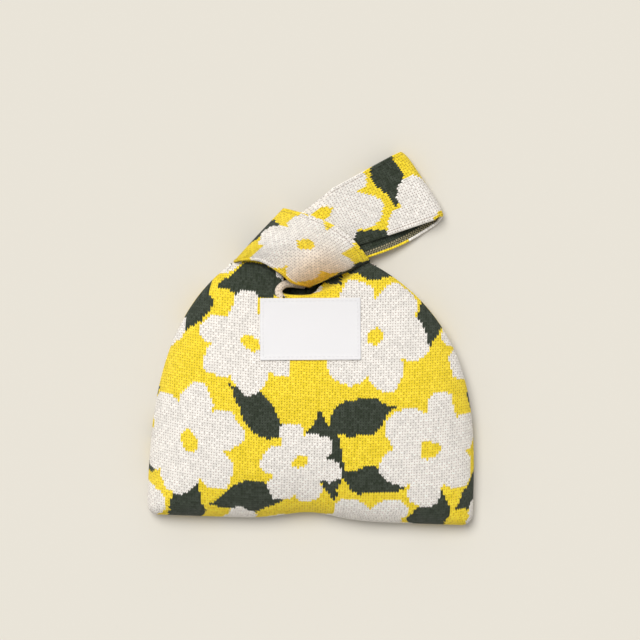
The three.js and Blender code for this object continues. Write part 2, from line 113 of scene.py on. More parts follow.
# Long handle
HANDLE_DRAWN_IN = 0.008  # of the upper layer's lower edge at the knot
NECK_EDGE_INSET = 0.0045  # of the handle's edges inside the short handle's wall
NECK_BACK_INSET = 2.5 * NECK_EDGE_INSET  # and of its lower layer's
NECK_SWELL = 0.005  # of its upper layer inside the knot
NECK_ROUND = (2, 0.7)  # power and roundness of that swell
NECK_PLACES = (0.35, 0.75)  # shares of the band's fold that its left edge passes
NECK_WAIST = 0.35  # share of the band's root that its right edge passes
NECK_LAP = 0.0015  # the handle's foot lies this far under the front panel's upper edge
NECK_LAP_END = 0.5  # share of the neck over which it comes up from there
NECK_START = 0.08  # share of the neck that is left to the panels' upper edges
EDGE_WAVE = 0.0004  # of the handle's two edges, up and down
EDGE_WAVE_LENGTH = 0.011
EDGE_ROLL = 0.0013  # radius by which they turn under
LOOP_STAND_OFF = 0.0016  # from the knot to the line where the wrist loop bends
LOOP_MIDDLE = 0.0005  # of the wrist loop, across from the knot's centre
LOOP_HEIGHT = 0.012  # of its two layers, lying flat
LOOP_END_LEAN = math.radians(5)  # the fold isn't square to the handle
LOOP_STAGGER = 0.001
LOOP_BOW = 0.002  # its lower edge bows out by this between the knot and the fold
LOOP_CORNER_ROUND = 0.002  # the fold falls back by this at its two corners
LOOP_CORNER_POWER = 8
LOOP_SAG = 0.001  # of the upper layer between the knot and the fold
LOOP_FAN = 0.0028  # how far its lower layer stands out past the upper one at the fold
LOWER_LAYER_RISE = (0.020, 0.042)  # length over which the lower layer comes up into the knot, at its two edges
BEND_WIDTH = 0.007  # of the cloth about the wrist loop's bend line, which the long handle's builder works out but does not use

# Short handle, a band round the long one: the along and across of its four corners
BAND_ROOT_LOW = (-0.0084, -0.0224)
BAND_ROOT_TIP = (0.032, -0.0268)
BAND_FOLD_LOW = (-0.0417, 0.013)
BAND_FOLD_HIGH = (0.0015, 0.0276)
BAND_UPPER_BULGE = 0.008  # of its upper edge over the long handle
BAND_LOWER_BULGE = 0.0018  # of its lower edge over the mouth
BAND_LOWER_PULL = 0.0065  # of its lower edge towards the wrist loop, near the fold
BAND_LOWER_PLACES = (0.2, 0.45, 0.8)  # shares of that edge at the bulge, part of the way to the pull and at it
BAND_PART_PULL = 0.4  # share of the pull at the second of them
BAND_LOWER_HEIGHT = 0.021
BAND_MIDDLE_HEIGHT = 0.036
BAND_UPPER_HEIGHT = 0.0185
BAND_RIDGE = 0.5  # where its middle height lies, as a share from its lower edge to its upper
BAND_OVER = (2.4, 0.6)  # power and roundness of the lens that it makes over the long handle
BAND_UNDER = (6, 0.4)  # and of the one under it
BAND_GAP = 6 * CLEARANCE  # the panels' edges stay this far from the band's
BAND_CREASE = 0.0007  # of the soft creases over the long handle
BAND_CREASE_WAVES = (5.5, 2.2, 0.6)  # their half waves from root to fold, lean and start
BAND_SWAY_WAVES = (2.5, 1.1)  # half waves and start of the broader ones, half as high
BAND_SOFTNESS = 0.7  # how gently it rises from its lower edge
BAND_LIP = (0.0017, 0.0024)  # radius of its rolled lower edge at its folds, and over the long handle
BAND_BEAD = (0.0007, 0.0016)  # rise and width of the crease above the rolled edge
BAND_LIP_TURN = math.radians(115)
BAND_LIP_LEAST = 0.25  # share of that turn at its folds
BAND_PAINTED_SHADE = (0.8, 0.34, 0.95)  # how far the painted warm shade reaches from the band's root and from its lower edge, and how strong it is
TUCK_DEPTH = 0.0045  # how far the right shoulder dips where it tucks under the band
SHOULDER_TUCK_DEPTH = 0.004  # and the left shoulder
TUCK_REACH = 0.012
TUCK_START = 0.3  # share of the band's edge over which the dip grows from nothing, at the mouth

# Mouth: what shows of it below the knot
FOOT_SHARE = 0.42  # of the left shoulder's line that is the long handle's foot
MOUTH_GAP = 0.0046  # between the front hem and the band's lowest point
MOUTH_FLARE = 0.0082
SHOULDER_PLACES = (0.1, 0.18, 0.26, 0.34)  # shares of the shoulder's line that the front's edge follows
ROOT_PLACES = (0.3, 0.5, 0.75)  # and of the root's line
BACK_SHOULDER_PLACES = (0.25, 0.5, 0.75, 0.95)  # the same for the back's edge
BACK_ROOT_PLACES = (0.05, 0.35, 0.7)
# The hem, from under the band's lower edge round the mouth's left end: where its roll starts, seen from the
# band's lowest point, and the way from there to the roll's outermost line
HEM_PATH = (
    (-0.0228, 0.0091, 0.0030, 0.0023),
    (-0.0200, 0.0075, 0.0024, 0.0019),
    (-0.0178, 0.0054, 0.0024, 0.0014),
    (-0.0170, 0.0030, 0.0022, 0.0007),
    (-0.0166, 0.0006, 0.0009, 0.0000),
    (-0.0162, -0.0022, 0.0006, 0.0000),
    (-0.0154, -0.0046, 0.0008, 0.0008),
    (-0.0130, -0.0064, 0.0010, 0.0020),
    (-0.0089, -0.0071, 0.0005, 0.0025),
    (-0.0040, -0.0069, -0.0001, 0.0024),
    (0.0008, -0.0064, -0.0001, 0.0023),
    (0.0053, -0.0043, -0.0001, 0.0017),
)
HEM_ROLLS = (0, 0.5, 1, 1, 1, 1, 1, 1, 1, 1, 1, 1)  # how far it rolls over at each of those points
HEM_TIGHTENS = (0, 0.3, 1, 1, 1, 1, 0.7, 0.15, 0, 0, 0, 0)  # how far its flap is shortened, at the sharp turn
HEM_TUCKS = (0, 0, 0, 0, 0, 0, 0, 0, 0, 0, 0.05, 0.7)  # how far it turns under, at the root of the short handle
# The middle of the hem where it curls up tight, from inside the knot round the mouth's left end: its place,
# seen from the band's lowest point, and its height
CURL_PATH = (
    (-0.0025, 0.0014, 0.0085),
    (-0.0067, 0.0018, 0.0112),
    (-0.0105, 0.0021, 0.0140),
    (-0.0140, 0.0016, 0.0168),
    (-0.0165, -0.0002, 0.0193),
    (-0.0177, -0.0025, 0.0206),
    (-0.0170, -0.0049, 0.0213),
    (-0.0144, -0.0066, 0.0213),
    (-0.0101, -0.0068, 0.0204),
)
CURL_RADIUS = (0.0023, 0.0009)  # along the curl and at its end, where it runs into the flat hem
CURL_RUN_OUT = 0.72  # share of its length at which it starts to narrow
CURL_GRID = (60, 18)  # points along it and round it
CURL_PRINT = (0.046, 0.026)
CURL_PAINTED_SHADE = 0.4  # how much warm shade is painted on it
HEM_FLAP = 0.009  # of cloth turned back inside under the hem
HEM_FLAP_LEAST = 0.002  # and of that at the curl
HEM_TURN_SHARE = 0.62  # of the hem's rows that go into its roll; the others are its flap
TUCK_BLEND = 0.007  # width over which the back's edge turns along the root of the short handle
TUCK_LOW = 0.0135  # height of the turned-under cloth at the mouth
TUCK_WALL = 0.85  # share of the turned-under cloth that falls from the hem
SHOULDER_REACH = 0.0055  # of the panels' upper edges inside the band
SHOULDER_REACH_START = (0.08, 0.014)  # share of it at the band's fold, and length over which it grows
SHOULDER_DROP = 0.0016  # of the front's upper edge there
SHOULDER_DROP_RATE = 2.5  # of its fall to that, by its reach
SHOULDER_DIP = 0.0018  # of the front beside the band, under its rolled edge

# Label
LABEL_TILT = math.radians(2.3)
LABEL_BELOW_HEM = 0.0017
LABEL_SHIFT = -0.0035  # of its middle, from the bag's middle
LABEL_STAND = 0.0002  # between the label and the knit
LABEL_LIFT = 0.0007  # of its lower edge off the knit
LABEL_LIFT_START = (0.42, 0.08)  # shares of its height: below its middle, and over which it lifts
LABEL_PUFF = 0.00012  # of the satin between its stitches
LABEL_PUFF_WAVES = (0.0071, 0.7, 0.0088)  # length across, start and length up
STITCH_INSET = 0.0016  # of the stitching from the label's edge
STITCH_LENGTH = 0.0021
STITCH_GAP = 0.0006
THREAD_RADIUS = 0.00025
THREAD_SINK = (0.5, 0.2)  # of a stitch's ends into the label, and rise of the whole, in thread radii
BEAD = (8, 6)  # points round a stitch's bead and along it
BEAD_BLUNT = 0.7  # power that makes the bead's ends blunt

# Seams
RIDGE_WIDTH = 0.002  # of the turned-in cloth inside a handle's fold
SEAM_STITCH = 0.0032  # from one stitch to the next
SEAM_YARN = 0.0004  # radius
SEAM_SLANT = 0.9  # rise of a stitch over its length
SEAM_STITCH_HALF = 0.55  # half a stitch's length, as a share of the way from one to the next
LOOP_SEAM_SPAN = (0.88, 0.12)  # shares of the handles' folds that the seams inside them run along
BAND_SEAM_SPAN = (0.34, 0.86)
SEAM_STOP = 0.013  # their yarn ends this far below the panels' upper corners
PANEL_SEAMS = ("left", "right", "bottom")  # a panel's edges that are sewn
BACK_SLACK = 0.0004  # of the back where it lies on the table
BACK_SLACK_WAVES = (0.019, 0.6, 0.024)  # length across, start and length up
BACK_SLACK_HEIGHT = 0.003  # of the back above the table, at which it has none

# Where each piece's cloth lies in the print
FRONT_PRINT = (0.004, 0.032)
HANDLE_PRINT = (0.052, 0.118)
BAND_PRINT = (0.1405, 0.044)

# Points in each grid of cloth, across and along
FRONT_GRID = (216, 124)
MOUTH_PLACE = (0.42, 0.13, 2.2)  # where the columns lie closer: share, width and how much closer
HEM_PLACE = (0.975, 0.02, 1.5)  # and the rows
BACK_GRID = (110, 80)
BACK_EDGE_ROWS = 8  # past its upper edge, under the band
BAND_GRID = (200, 32)
HANDLE_COLUMNS = 56
NECK_ROWS, LOOP_ROWS, FOLD_ROWS = 34, 56, 30
LABEL_GRID = (90, 56)
SEAM_POINTS, SEAM_ROWS = 110, 5
RIDGE_POINTS = 30  # along the seam inside a handle's fold
HEM_ROWS = 30
LIP_ROWS = 12

# The table from which a panel's cloth is unrolled: its step, its reach in x and y, and its steepest slope
UNROLL_STEP = 0.001
UNROLL_X, UNROLL_Y = (-0.11, 0.1101), (-0.01, 0.1751)
STEEPEST = 2.5

# The knit's stitch, in shares of itself
LEG_SLANT = 1.3  # rise of its two legs, in courses for a whole wale
STITCH_MIDDLE = 0.8  # where its print is read, up from its foot
HOLE_SHAPE = (1.6, 1.7)  # stretch of the hole at its foot, across and up
HOLE_FADE = (0.62, 0.2)  # from where the hole starts to where it is full
HOLE_DEPTH = 0.8
HOLE_PAINTED_SHADE = (0.40, 0.30, 0.26, 1)  # painted shade down in it, also on the sewn line along an edge

# The knit's colours
SHADES = (0.22, 0.12, 0.84)  # how much the stitches differ, how much their relief shades, and the least shade
GLINT = 0.035  # of the highest stitches
RELIEF_STRENGTH = 0.8
PAINTED_WARM_SHADE = (0.86, 0.60, 0.34, 1)  # tone of the painted warm shade
LIP_FADE = (0.00021, 0.0007)  # distance from an edge over which the outer face gives way to the inner
WALL_FADE = (0.55, 0.75)  # and the part of the edge's wall over which it does
LINE_FADE = (0.4, 0.1)  # part of the wall over which the sewn line ends
MARGIN_WIDTH = 0.0042  # of the speckled margin inside
SPECK = 0.85  # in millimetres
SELVEDGE = 0.0024  # from an edge to the sewn line along it
SELVEDGE_LINE = 0.0005  # half that line's width
SELVEDGE_DEPTH = 0.6

# The satin's floats, in millimetres and in shares of a float
FLOAT_LENGTH = 1.1
FLOAT_HEIGHT = 0.16
FLOAT_SHIFT = 0.4
FLOAT_DIP = 0.12
FLOAT_SHADE = 0.93  # of the satin between its floats
FLOAT_RELIEF = (0.00008, 0.6)  # in metres, and its strength

# The print. Lengths are in millimetres, and a petal's sizes are shares of its blossom's radius.
TILE = (150.0, 132.0, 1.0)
DRIFT = 12.8  # how far the edges of the motifs wander
DRIFT_SCALE = 0.045
PETAL_MIDDLE, PETAL_LENGTH, PETAL_WIDTH = 0.62, 0.38, 0.335
HEART = 0.5  # reach of the petals' common middle
EYE = 0.17
LEAF_POINT = 1.45  # how pointed a leaf's ends are
# Centre, radius and turn of each blossom; centre, turn, length and width of each leaf; turns in degrees
BLOSSOMS = (
    ((38, 36), 36, 8),
    ((113, 27), 31, 24),
    ((78, 97), 35, 40),
    ((147, 88), 25, 12),
)
LEAVES = (
    ((77, 52), 76, 58, 22),
    ((12, 94), 102, 60, 23),
    ((40, 80), -14, 44, 18),
    ((117, 66), 12, 52, 24),
    ((121, 118), 138, 50, 20),
    ((33, 118), 20, 48, 21),
)

MM = 1000  # in a metre
ZERO = (0.0, 0.0, 0.0)
WHITE = (1, 1, 1, 1)

# Light: a large soft window at the upper left
AMBIENT = 0.52
SUN = 2.42
SUN_SPREAD = math.radians(34)
SUN_FROM = (-0.32, 0.47, 1.08)

# View: the camera looks straight down on the table
CAMERA_HEIGHT = 2.0
VIEW_WIDTH = 0.3897  # seen at the bag's middle height
VIEW_CENTRE = (0.0021, 0.0085)
VIEW_TURN = math.radians(2)
SENSOR_WIDTH = 0.036
VIEW_REACH = 100
TABLE_SIZE = 6


def from_srgb(red, green, blue):
    """A scene-linear colour from display values of 0 to 255."""
    values = (v / 255 for v in (red, green, blue))
    return tuple(v / 12.92 if v <= 0.04045 else ((v + 0.055) / 1.055) ** 2.4 for v in values)


def length_property(name, description, default, **more):
    return bpy.props.FloatProperty(
        name=name, description=description, default=default, min=0.0, unit="LENGTH", precision=4, **more
    )


def colour_property(name, description, default):
    return bpy.props.FloatVectorProperty(
        name=name, description=description, default=from_srgb(*default), subtype="COLOR", min=0, max=1
    )


class KnotBagSizes(bpy.types.PropertyGroup):
    """The sizes of the bag's cloth and trim."""

    body_width: length_property("Body width", "Across the bottom edge", 0.199)
    body_depth: length_property("Body depth", "Height of the swelling front above the table", 0.034)
    cloth: length_property("Cloth", "Thickness of the double-faced knit", 0.0022)
    hem: length_property("Hem radius", "Radius of the rolled hem at the mouth", 0.0026)
    handle_width: length_property("Handle width", "Width of the long handle", 0.047)
    loop_length: length_property("Loop length", "From the knot's edge to the end of the wrist loop", 0.0515)
    label_width: length_property("Label width", "Width of the sewn label", 0.0605)
    label_height: length_property("Label height", "Height of the sewn label", 0.037)
    label_thickness: length_property("Label thickness", "Thickness of the satin", 0.0007)
    wale: length_property("Wale", "Width of one column of stitches", 0.0016)
    course: length_property("Course", "Height of one row of stitches", 0.0017)
    relief: length_property("Stitch relief", "Height of a stitch above its gaps", 0.0006)


class KnotBagColours(bpy.types.PropertyGroup):
    """The colours of the yarns, the label and the table."""

    ground: colour_property("Ground yarn", "Yellow ground of the print", (255, 224, 42))
    blossom: colour_property("Blossom yarn", "Off-white of the blossoms", (248, 242, 233))
    leaf: colour_property("Leaf yarn", "Dark green of the leaves and the inside", (48, 57, 41))
    margin: colour_property("Margin yarn", "Beige specks along the edges inside", (176, 163, 128))
    label: colour_property("Label", "Satin of the label", (233, 231, 231))
    table: colour_property("Table", "The pale surface that the bag lies on", (215, 210, 199))


# Curves and shares
def lerp(a, b, t):
    return a + (b - a) * t


def ease(t):
    t = np.clip(t, 0, 1)
    return t * t * (3 - 2 * t)


def quarter_round(t):
    """From 0 to 1 as a quarter circle, steep at first."""
    return np.sqrt(1 - (1 - np.clip(t, 0, 1)) ** 2)


def lens(across, power, roundness):
    """The height of a lens: 0 at its two edges, where across is -1 and 1, and 1 between them."""
    return np.maximum(0, 1 - np.abs(across) ** power) ** roundness


def lesser(a, b):
    """The lesser of two shares, with the step between them smoothed away."""
    least = 1e-4
    a, b = np.maximum(a, least), np.maximum(b, least)
    return (a**-3.0 + b**-3.0 - 1) ** (-1 / 3)


def closer_at_ends(count, place=0.5, width=1.0, crowding=0.0):
    """Shares from 0 to 1, spaced more closely at both ends and, by the crowding, round a place."""
    share = (1 - np.cos(np.pi * np.linspace(0, 1, 4001))) / 2
    run = np.cumsum(1 + crowding * np.exp(-(((share - place) / width) ** 2)))
    return np.interp(np.linspace(run[0], run[-1], count), run, share)


def band_share(turn):
    """How far a turn round the short handle's band has come in plan, from its root, 0, to its fold, 1."""
    return (1 - np.cos(2 * np.pi * turn)) / 2


def crest(distance, width):
    """From 1 at no distance to 0 at the width, as a quarter circle that ends steeply."""
    return np.sqrt(np.maximum(0, 1 - (distance / width) ** 2))


def closer_at_start(count):
    return 1 - np.cos(np.pi / 2 * np.linspace(0, 1, count))


def spline(points, t):
    """A smooth curve through the points, at the shares t."""
    p = np.asarray(points, float)
    last = len(p) - 1
    place = np.clip(t, 0, 1) * last
    i = np.minimum(place.astype(int), last - 1)
    w = (place - i)[..., None]
    before, a, b, after = p[np.maximum(i - 1, 0)], p[i], p[i + 1], p[np.minimum(i + 2, last)]
    start, end = (b - before) / 2, (after - a) / 2
    return (2 * a - 2 * b + start + end) * w**3 + (3 * b - 3 * a - 2 * start - end) * w**2 + start * w + a


def even_spline(points, samples=600):
    """A function that gives the smooth curve through the points at shares of its length in plan."""
    line = spline(points, np.linspace(0, 1, samples))
    run = np.concatenate([[0], np.cumsum(np.linalg.norm(np.diff(line[:, :2], axis=0), axis=1))])
    return lambda t: np.stack([np.interp(np.clip(t, 0, 1) * run[-1], run, column) for column in line.T], -1)


def patch(bottom, top, left, right, u, v):
    """A flat patch between four edges that meet at their ends, at each share u across and v up."""
    u, v = u[..., None], v[..., None]
    corners = lerp(lerp(bottom[0], bottom[-1], u), lerp(top[0], top[-1], u), v)
    return lerp(bottom[None], top[None], v) + lerp(left[:, None], right[:, None], u) - corners


def unit(vectors):
    return vectors / np.maximum(np.linalg.norm(vectors, axis=-1, keepdims=True), 1e-12)


def turned_left(vectors):
    return np.stack([-vectors[..., 1], vectors[..., 0]], -1)


def with_height(plan, z):
    return np.concatenate([plan, np.broadcast_to(np.asarray(z)[..., None], (*plan.shape[:-1], 1))], -1)


class BagShape:
    """The bag's curves in its own frame: x from the middle, y from the bottom edge, z above the table."""

    def __init__(self, sizes):
        self.cloth, self.depth, self.hem = sizes.cloth, sizes.body_depth, sizes.hem
        self.half, self.half_handle = sizes.body_width / 2, sizes.handle_width / 2
        self.along = np.array([math.cos(HANDLE_ANGLE), math.sin(HANDLE_ANGLE)])
        self.across = turned_left(self.along)
        self.fold_out = math.cos(LOOP_END_LEAN) * self.along + math.sin(LOOP_END_LEAN) * self.across
        self.root_low, self.root_tip = self.knot_point(*BAND_ROOT_LOW), self.knot_point(*BAND_ROOT_TIP)
        self.fold_low, self.fold_high = self.knot_point(*BAND_FOLD_LOW), self.knot_point(*BAND_FOLD_HIGH)
        self.down_bag = -unit(self.across + self.along)
        self.hem_height = self.root_low[1] - MOUTH_GAP
        self.free_along = BAND_ROOT_TIP[0] + LOOP_STAND_OFF
        self.loop_length, self.label_height = sizes.loop_length, sizes.label_height
        self.neck_bottom = LOOP_HEIGHT - 2 * self.cloth - CLEARANCE
        self.fold_radius = (LOOP_HEIGHT - 2 * CLEARANCE) / 2
        self.origin = np.array([(CAD_LOW.x + CAD_HIGH.x) / 2, CAD_LOW.y, CLEARANCE / 2])
        pulls = (-BAND_LOWER_BULGE, BAND_LOWER_PULL * BAND_PART_PULL, BAND_LOWER_PULL)
        between = [
            lerp(self.root_low, self.fold_low, u) + amount * self.along
            for u, amount in zip(BAND_LOWER_PLACES, pulls)
        ]
        self.band_lower_edge = lambda u: spline([self.root_low, *between, self.fold_low], np.asarray(u, float))

    def knot_point(self, a, c):
        a, c = np.asarray(a)[..., None], np.asarray(c)[..., None]
        return np.array(KNOT) + a * self.along + c * self.across

    # The body's outline
    def side(self, y, corner, power, roundness):
        dome = corner[1] / (1 - (abs(corner[0]) / self.half) ** (1 / roundness)) ** (1 / power)
        reach = self.half * (1 - (np.clip(y, 0, dome) / dome) ** power) ** roundness
        up = np.clip(y, 0, CORNER_RADIUS)
        return reach - CORNER_RADIUS + np.sqrt(CORNER_RADIUS**2 - (CORNER_RADIUS - up) ** 2)

    def left_edge(self, y):
        return -self.side(y, self.fold_low, *LEFT_SIDE)

    def right_edge(self, y):
        return self.side(y, self.root_tip, *RIGHT_SIDE)

    def bottom_edge(self, x):
        return BOTTOM_LIFT * np.exp(-((x / BOTTOM_LIFT_WIDTH) ** 2))

    def rim_height(self, y):
        return lerp(BOTTOM_RIM_HEIGHT, TOP_RIM_HEIGHT, ease(y / self.fold_low[1]))

    def near_band(self, x, y, corner):
        """How near a place is to the line from the band's lowest point to a corner: 1 on it, past its start."""
        run = corner - self.root_low
        start = np.stack([x, y], -1) - self.root_low
        share = np.clip(start @ run / (run @ run), 0, 1)
        distance = np.linalg.norm(start - share[..., None] * run, axis=-1)
        return (1 - ease(distance / TUCK_REACH)) * ease(share / TUCK_START)

    def front_height(self, x, y):
        fall = ease((y - (self.root_low[1] - SHOULDER_FALL)) / SHOULDER_FALL)
        crown = lerp(self.depth, SHOULDER_DEPTH, fall)
        right_tuck = TUCK_DEPTH * self.near_band(x, y, self.root_tip)
        tuck = np.maximum(right_tuck, SHOULDER_TUCK_DEPTH * self.near_band(x, y, self.fold_low))
        left, right = self.left_edge(y), self.right_edge(y)
        share = np.clip(2 * (x - left) / np.maximum(right - left, CLEARANCE) - 1, -1, 1)
        from_bottom = quarter_round((y - self.bottom_edge(x)) / BOTTOM_ROUND)
        rise = lesser(from_bottom, lens(share, FRONT_POWER, FRONT_ROUND))
        rim = self.rim_height(y)
        return rim + (crown - tuck - rim) * rise

    def front_surface(self, x, y):
        """The front as it shows: its swell, slack and soft folds that run from the knot."""
        z = self.front_height(x, y)
        middle = self.hem_height - LABEL_BELOW_HEM - self.label_height / 2
        from_label = zip((x - LABEL_SHIFT, y - middle), LABEL_FLAT)
        beside, below = (ease((np.abs(place) - reach) / run_out) for place, (reach, run_out) in from_label)
        fullness = ease((z - self.rim_height(y)) / FULL_HEIGHT)
        across, sway, sway_length, up, start = SLACK_WAVES
        slack = SLACK * np.sin(x / across + sway * np.sin(y / sway_length)) * np.sin(y / up + start)
        way = np.stack([x, y], -1) - self.root_low
        away, turn = np.linalg.norm(way, axis=-1), np.arctan2(way[..., 1], way[..., 0])
        begun, ended = (ease((away - start) / length) for start, length in KNOT_FOLD_REACH)
        count, start = KNOT_FOLD_TURNS
        folds = KNOT_FOLDS * np.cos(count * turn + start) * begun * (1 - ended)
        dip = SHOULDER_DIP * self.near_band(x, y, self.fold_low)
        return z + ((slack + folds) * np.maximum(beside, below) - dip) * fullness + CLEARANCE / 2

    def back_height(self, x, y):
        """The back lies flat on the table, curls up to the seams, and rises over the band near the knot."""
        from_side = np.minimum(x - self.left_edge(y), self.right_edge(y) - x)
        from_bottom = quarter_round((y - self.bottom_edge(x)) / BACK_ROUND)
        flat = lesser(quarter_round(from_side / BACK_ROUND), from_bottom)
        over_band = (self.cloth + 3 * CLEARANCE) * ease((y - self.root_low[1] + BACK_RISE) / BACK_RISE)
        return np.maximum(self.rim_height(y) * (1 - flat), over_band * flat)

    # The band in plan: u runs from its root at the right shoulder to its fold, v from its lower edge up.
    def band_upper_edge(self, u):
        u = np.asarray(u)[..., None]
        return lerp(self.root_tip, self.fold_high, u) + BAND_UPPER_BULGE * np.sin(np.pi * u) * self.along

    def band_plan(self, u, v):
        low, high = self.band_lower_edge(u), self.band_upper_edge(u)
        return lerp(low, high, v[..., None])

    def band_height(self, v):
        share = np.clip(v / BAND_RIDGE, 0, 1)
        rise = lerp(quarter_round(share), np.sin(np.pi / 2 * share), BAND_SOFTNESS)
        low = lerp(BAND_LOWER_HEIGHT, BAND_MIDDLE_HEIGHT, rise)
        high = lerp(BAND_MIDDLE_HEIGHT, BAND_UPPER_HEIGHT, ease((v - BAND_RIDGE) / (1 - BAND_RIDGE)))
        return np.where(v < BAND_RIDGE, low, high)

    def band_middle(self, v):
        return (self.band_height(v) + CLEARANCE) / 2

    def band_surface(self, turn, v):
        """Half of the turn goes over the long handle, from root to fold, and half goes back under it.

        The pull of the knot draws soft creases in the upper half.
        """
        share, upper = band_share(turn), np.sin(2 * np.pi * turn)
        over, under = lens(2 * share - 1, *BAND_OVER), lens(2 * share - 1, *BAND_UNDER)
        z = self.band_middle(v) + (self.band_middle(v) - CLEARANCE) * np.where(upper >= 0, over, -under)
        waves, lean, start = BAND_CREASE_WAVES
        crease = np.sin(waves * np.pi * share + lean * v + start) * np.sin(np.pi * np.clip(v, 0, 1)) ** 1.5
        waves, start = BAND_SWAY_WAVES
        sway = np.sin(waves * np.pi * share + start) * v * (1 - v) * 4
        z += np.where(upper > 0, over, 0) * BAND_CREASE * (crease + 0.5 * sway)
        return with_height(self.band_plan(share, v), z)

    def band_floor(self, plan):
        """The height of the band's underside, inside it, over a place in plan."""
        start = plan - np.array(KNOT)
        a, c = start @ self.along, start @ self.across
        root_share = (a - BAND_ROOT_LOW[0]) / (BAND_ROOT_TIP[0] - BAND_ROOT_LOW[0])
        root = lerp(BAND_ROOT_LOW[1], BAND_ROOT_TIP[1], root_share)
        fold_share = np.clip((a - BAND_FOLD_LOW[0]) / (BAND_FOLD_HIGH[0] - BAND_FOLD_LOW[0]), 0, 1)
        share = np.clip((c - root) / (lerp(BAND_FOLD_LOW[1], BAND_FOLD_HIGH[1], fold_share) - root), 0, 1)
        low = lerp(BAND_ROOT_LOW[0], BAND_FOLD_LOW[0], share)
        high = lerp(BAND_ROOT_TIP[0], BAND_FOLD_HIGH[0], share)
        middle = self.band_middle(np.clip((a - low) / (high - low), 0, 1))
        return middle - (middle - CLEARANCE) * lens(2 * share - 1, *BAND_UNDER) + self.cloth

    # The panels' upper edges
    def shoulder_line(self, t):
        return self.band_lower_edge(1 - np.asarray(t, float)) + BAND_GAP * self.down_bag

    def root_line(self, t, gap):
        t = np.asarray(t, float)[..., None]
        return lerp(self.root_low, self.root_tip, t) - self.across * np.asarray(gap)[..., None]

    def shoulder_reach(self, edge):
        """How far a panel's upper edge runs on under the band: hardly at all at the band's fold."""
        least, length = SHOULDER_REACH_START
        return SHOULDER_REACH * lerp(least, 1, ease(np.linalg.norm(edge - edge[0], axis=-1) / length))

    def top_corners(self):
        """The panels' two upper corners, at the ends of the side seams."""
        left = self.shoulder_line(0.0)[1]
        right = self.root_line(np.array([1.0]), np.array([BAND_GAP]))[0, 1]
        return np.array([self.left_edge(left), left]), np.array([self.right_edge(right), right])

    def front_top(self):
        """The front's upper edge: its place, the way of its roll, and how far it rolls, tightens and tucks."""
        up = -self.hem * self.down_bag
        left, right = self.top_corners()
        shoulder = [(*place, *up, 0, 0, 0) for place in (left, *self.shoulder_line(np.array(SHOULDER_PLACES)))]
        hem = [
            (*(self.root_low + point[:2]), *point[2:], rolls, tightens, tucks)
            for point, rolls, tightens, tucks in zip(HEM_PATH, HEM_ROLLS, HEM_TIGHTENS, HEM_TUCKS)
        ]
        places = np.array(ROOT_PLACES)
        root = self.root_line(places, lerp(MOUTH_FLARE, BAND_GAP, places))
        return even_spline(shoulder + hem + [(*place, *up, 1, 0, 1) for place in (*root, right)])

    def back_top(self):
        left, right = self.top_corners()
        shoulder = self.shoulder_line(np.array(BACK_SHOULDER_PLACES))
        return even_spline([left, *shoulder, *self.root_line(np.array(BACK_ROOT_PLACES), BAND_GAP), right])

    def panel_plan(self, top, u, v):
        """A panel in plan: u from the left seam to the right one, v from the bottom seam to its upper edge."""
        x = lerp(self.left_edge(0.0), self.right_edge(0.0), u)
        bottom = np.stack([x, self.bottom_edge(x)], -1)
        ends = (self.left_edge, bottom[0], top[0]), (self.right_edge, bottom[-1], top[-1])
        heights = [lerp(low[1], high[1], v) for _, low, high in ends]
        sides = [np.stack([edge(y), y], -1) for (edge, _, _), y in zip(ends, heights)]
        return patch(bottom, top, *sides, *np.meshgrid(u, v))

    # The long handle
    def neck_plan(self, u, v, inset, drawn_in, drop):
        """Inside the knot: u from its left edge to its right, v from the shoulder to the wrist loop."""
        foot_start = 1 - inset / np.linalg.norm(self.root_low - self.fold_low)
        foot = self.band_lower_edge(lerp(foot_start, 1 - FOOT_SHARE, u)) - BAND_GAP * self.down_bag
        wall = (self.cloth + inset) * self.across
        inside = [lerp(self.fold_low, self.fold_high, t) - wall for t in NECK_PLACES]
        top_left = self.knot_point(self.free_along, self.half_handle + LOOP_MIDDLE - drop)
        top_right = self.knot_point(self.free_along, -self.half_handle + LOOP_MIDDLE - drop + drawn_in)
        middle_along = lerp(BAND_ROOT_LOW[0], BAND_ROOT_TIP[0], NECK_WAIST)
        waist = self.knot_point(middle_along, -self.half_handle + drawn_in + NECK_EDGE_INSET)
        left = spline([foot[0], *inside, top_left], v)
        right = spline([foot[-1], waist, top_right], v)
        end = lerp(top_left, top_right, u[:, None])
        return patch(foot, end, left, right, *np.meshgrid(u, v)), foot

    def neck_front(self, u, v):
        plan, foot = self.neck_plan(u, v, NECK_EDGE_INSET, HANDLE_DRAWN_IN, 0)
        share = ease(v)[:, None]
        lap = NECK_LAP * (1 - ease(v / NECK_LAP_END))[:, None]
        swell = NECK_SWELL * np.sin(np.pi * v)[:, None] * lens(2 * u - 1, *NECK_ROUND)
        z = lerp(self.front_height(foot[:, 0], foot[:, 1]), LOOP_HEIGHT, share) + swell - lap
        return with_height(plan, z)

    def neck_back(self, u, v):
        plan, foot = self.neck_plan(u, v, NECK_BACK_INSET, 0, LOOP_STAGGER)
        flat = lerp(self.back_height(foot[:, 0], foot[:, 1]), self.neck_bottom, ease(v)[:, None])
        return with_height(plan, np.maximum(flat, self.band_floor(plan) + 3 * CLEARANCE))

    def loop_end(self, c):
        corner = LOOP_CORNER_ROUND * np.abs(c / self.half_handle) ** LOOP_CORNER_POWER
        reach = self.free_along + self.loop_length - self.fold_radius - c * math.tan(LOOP_END_LEAN) - corner
        return self.knot_point(reach, c + LOOP_MIDDLE)

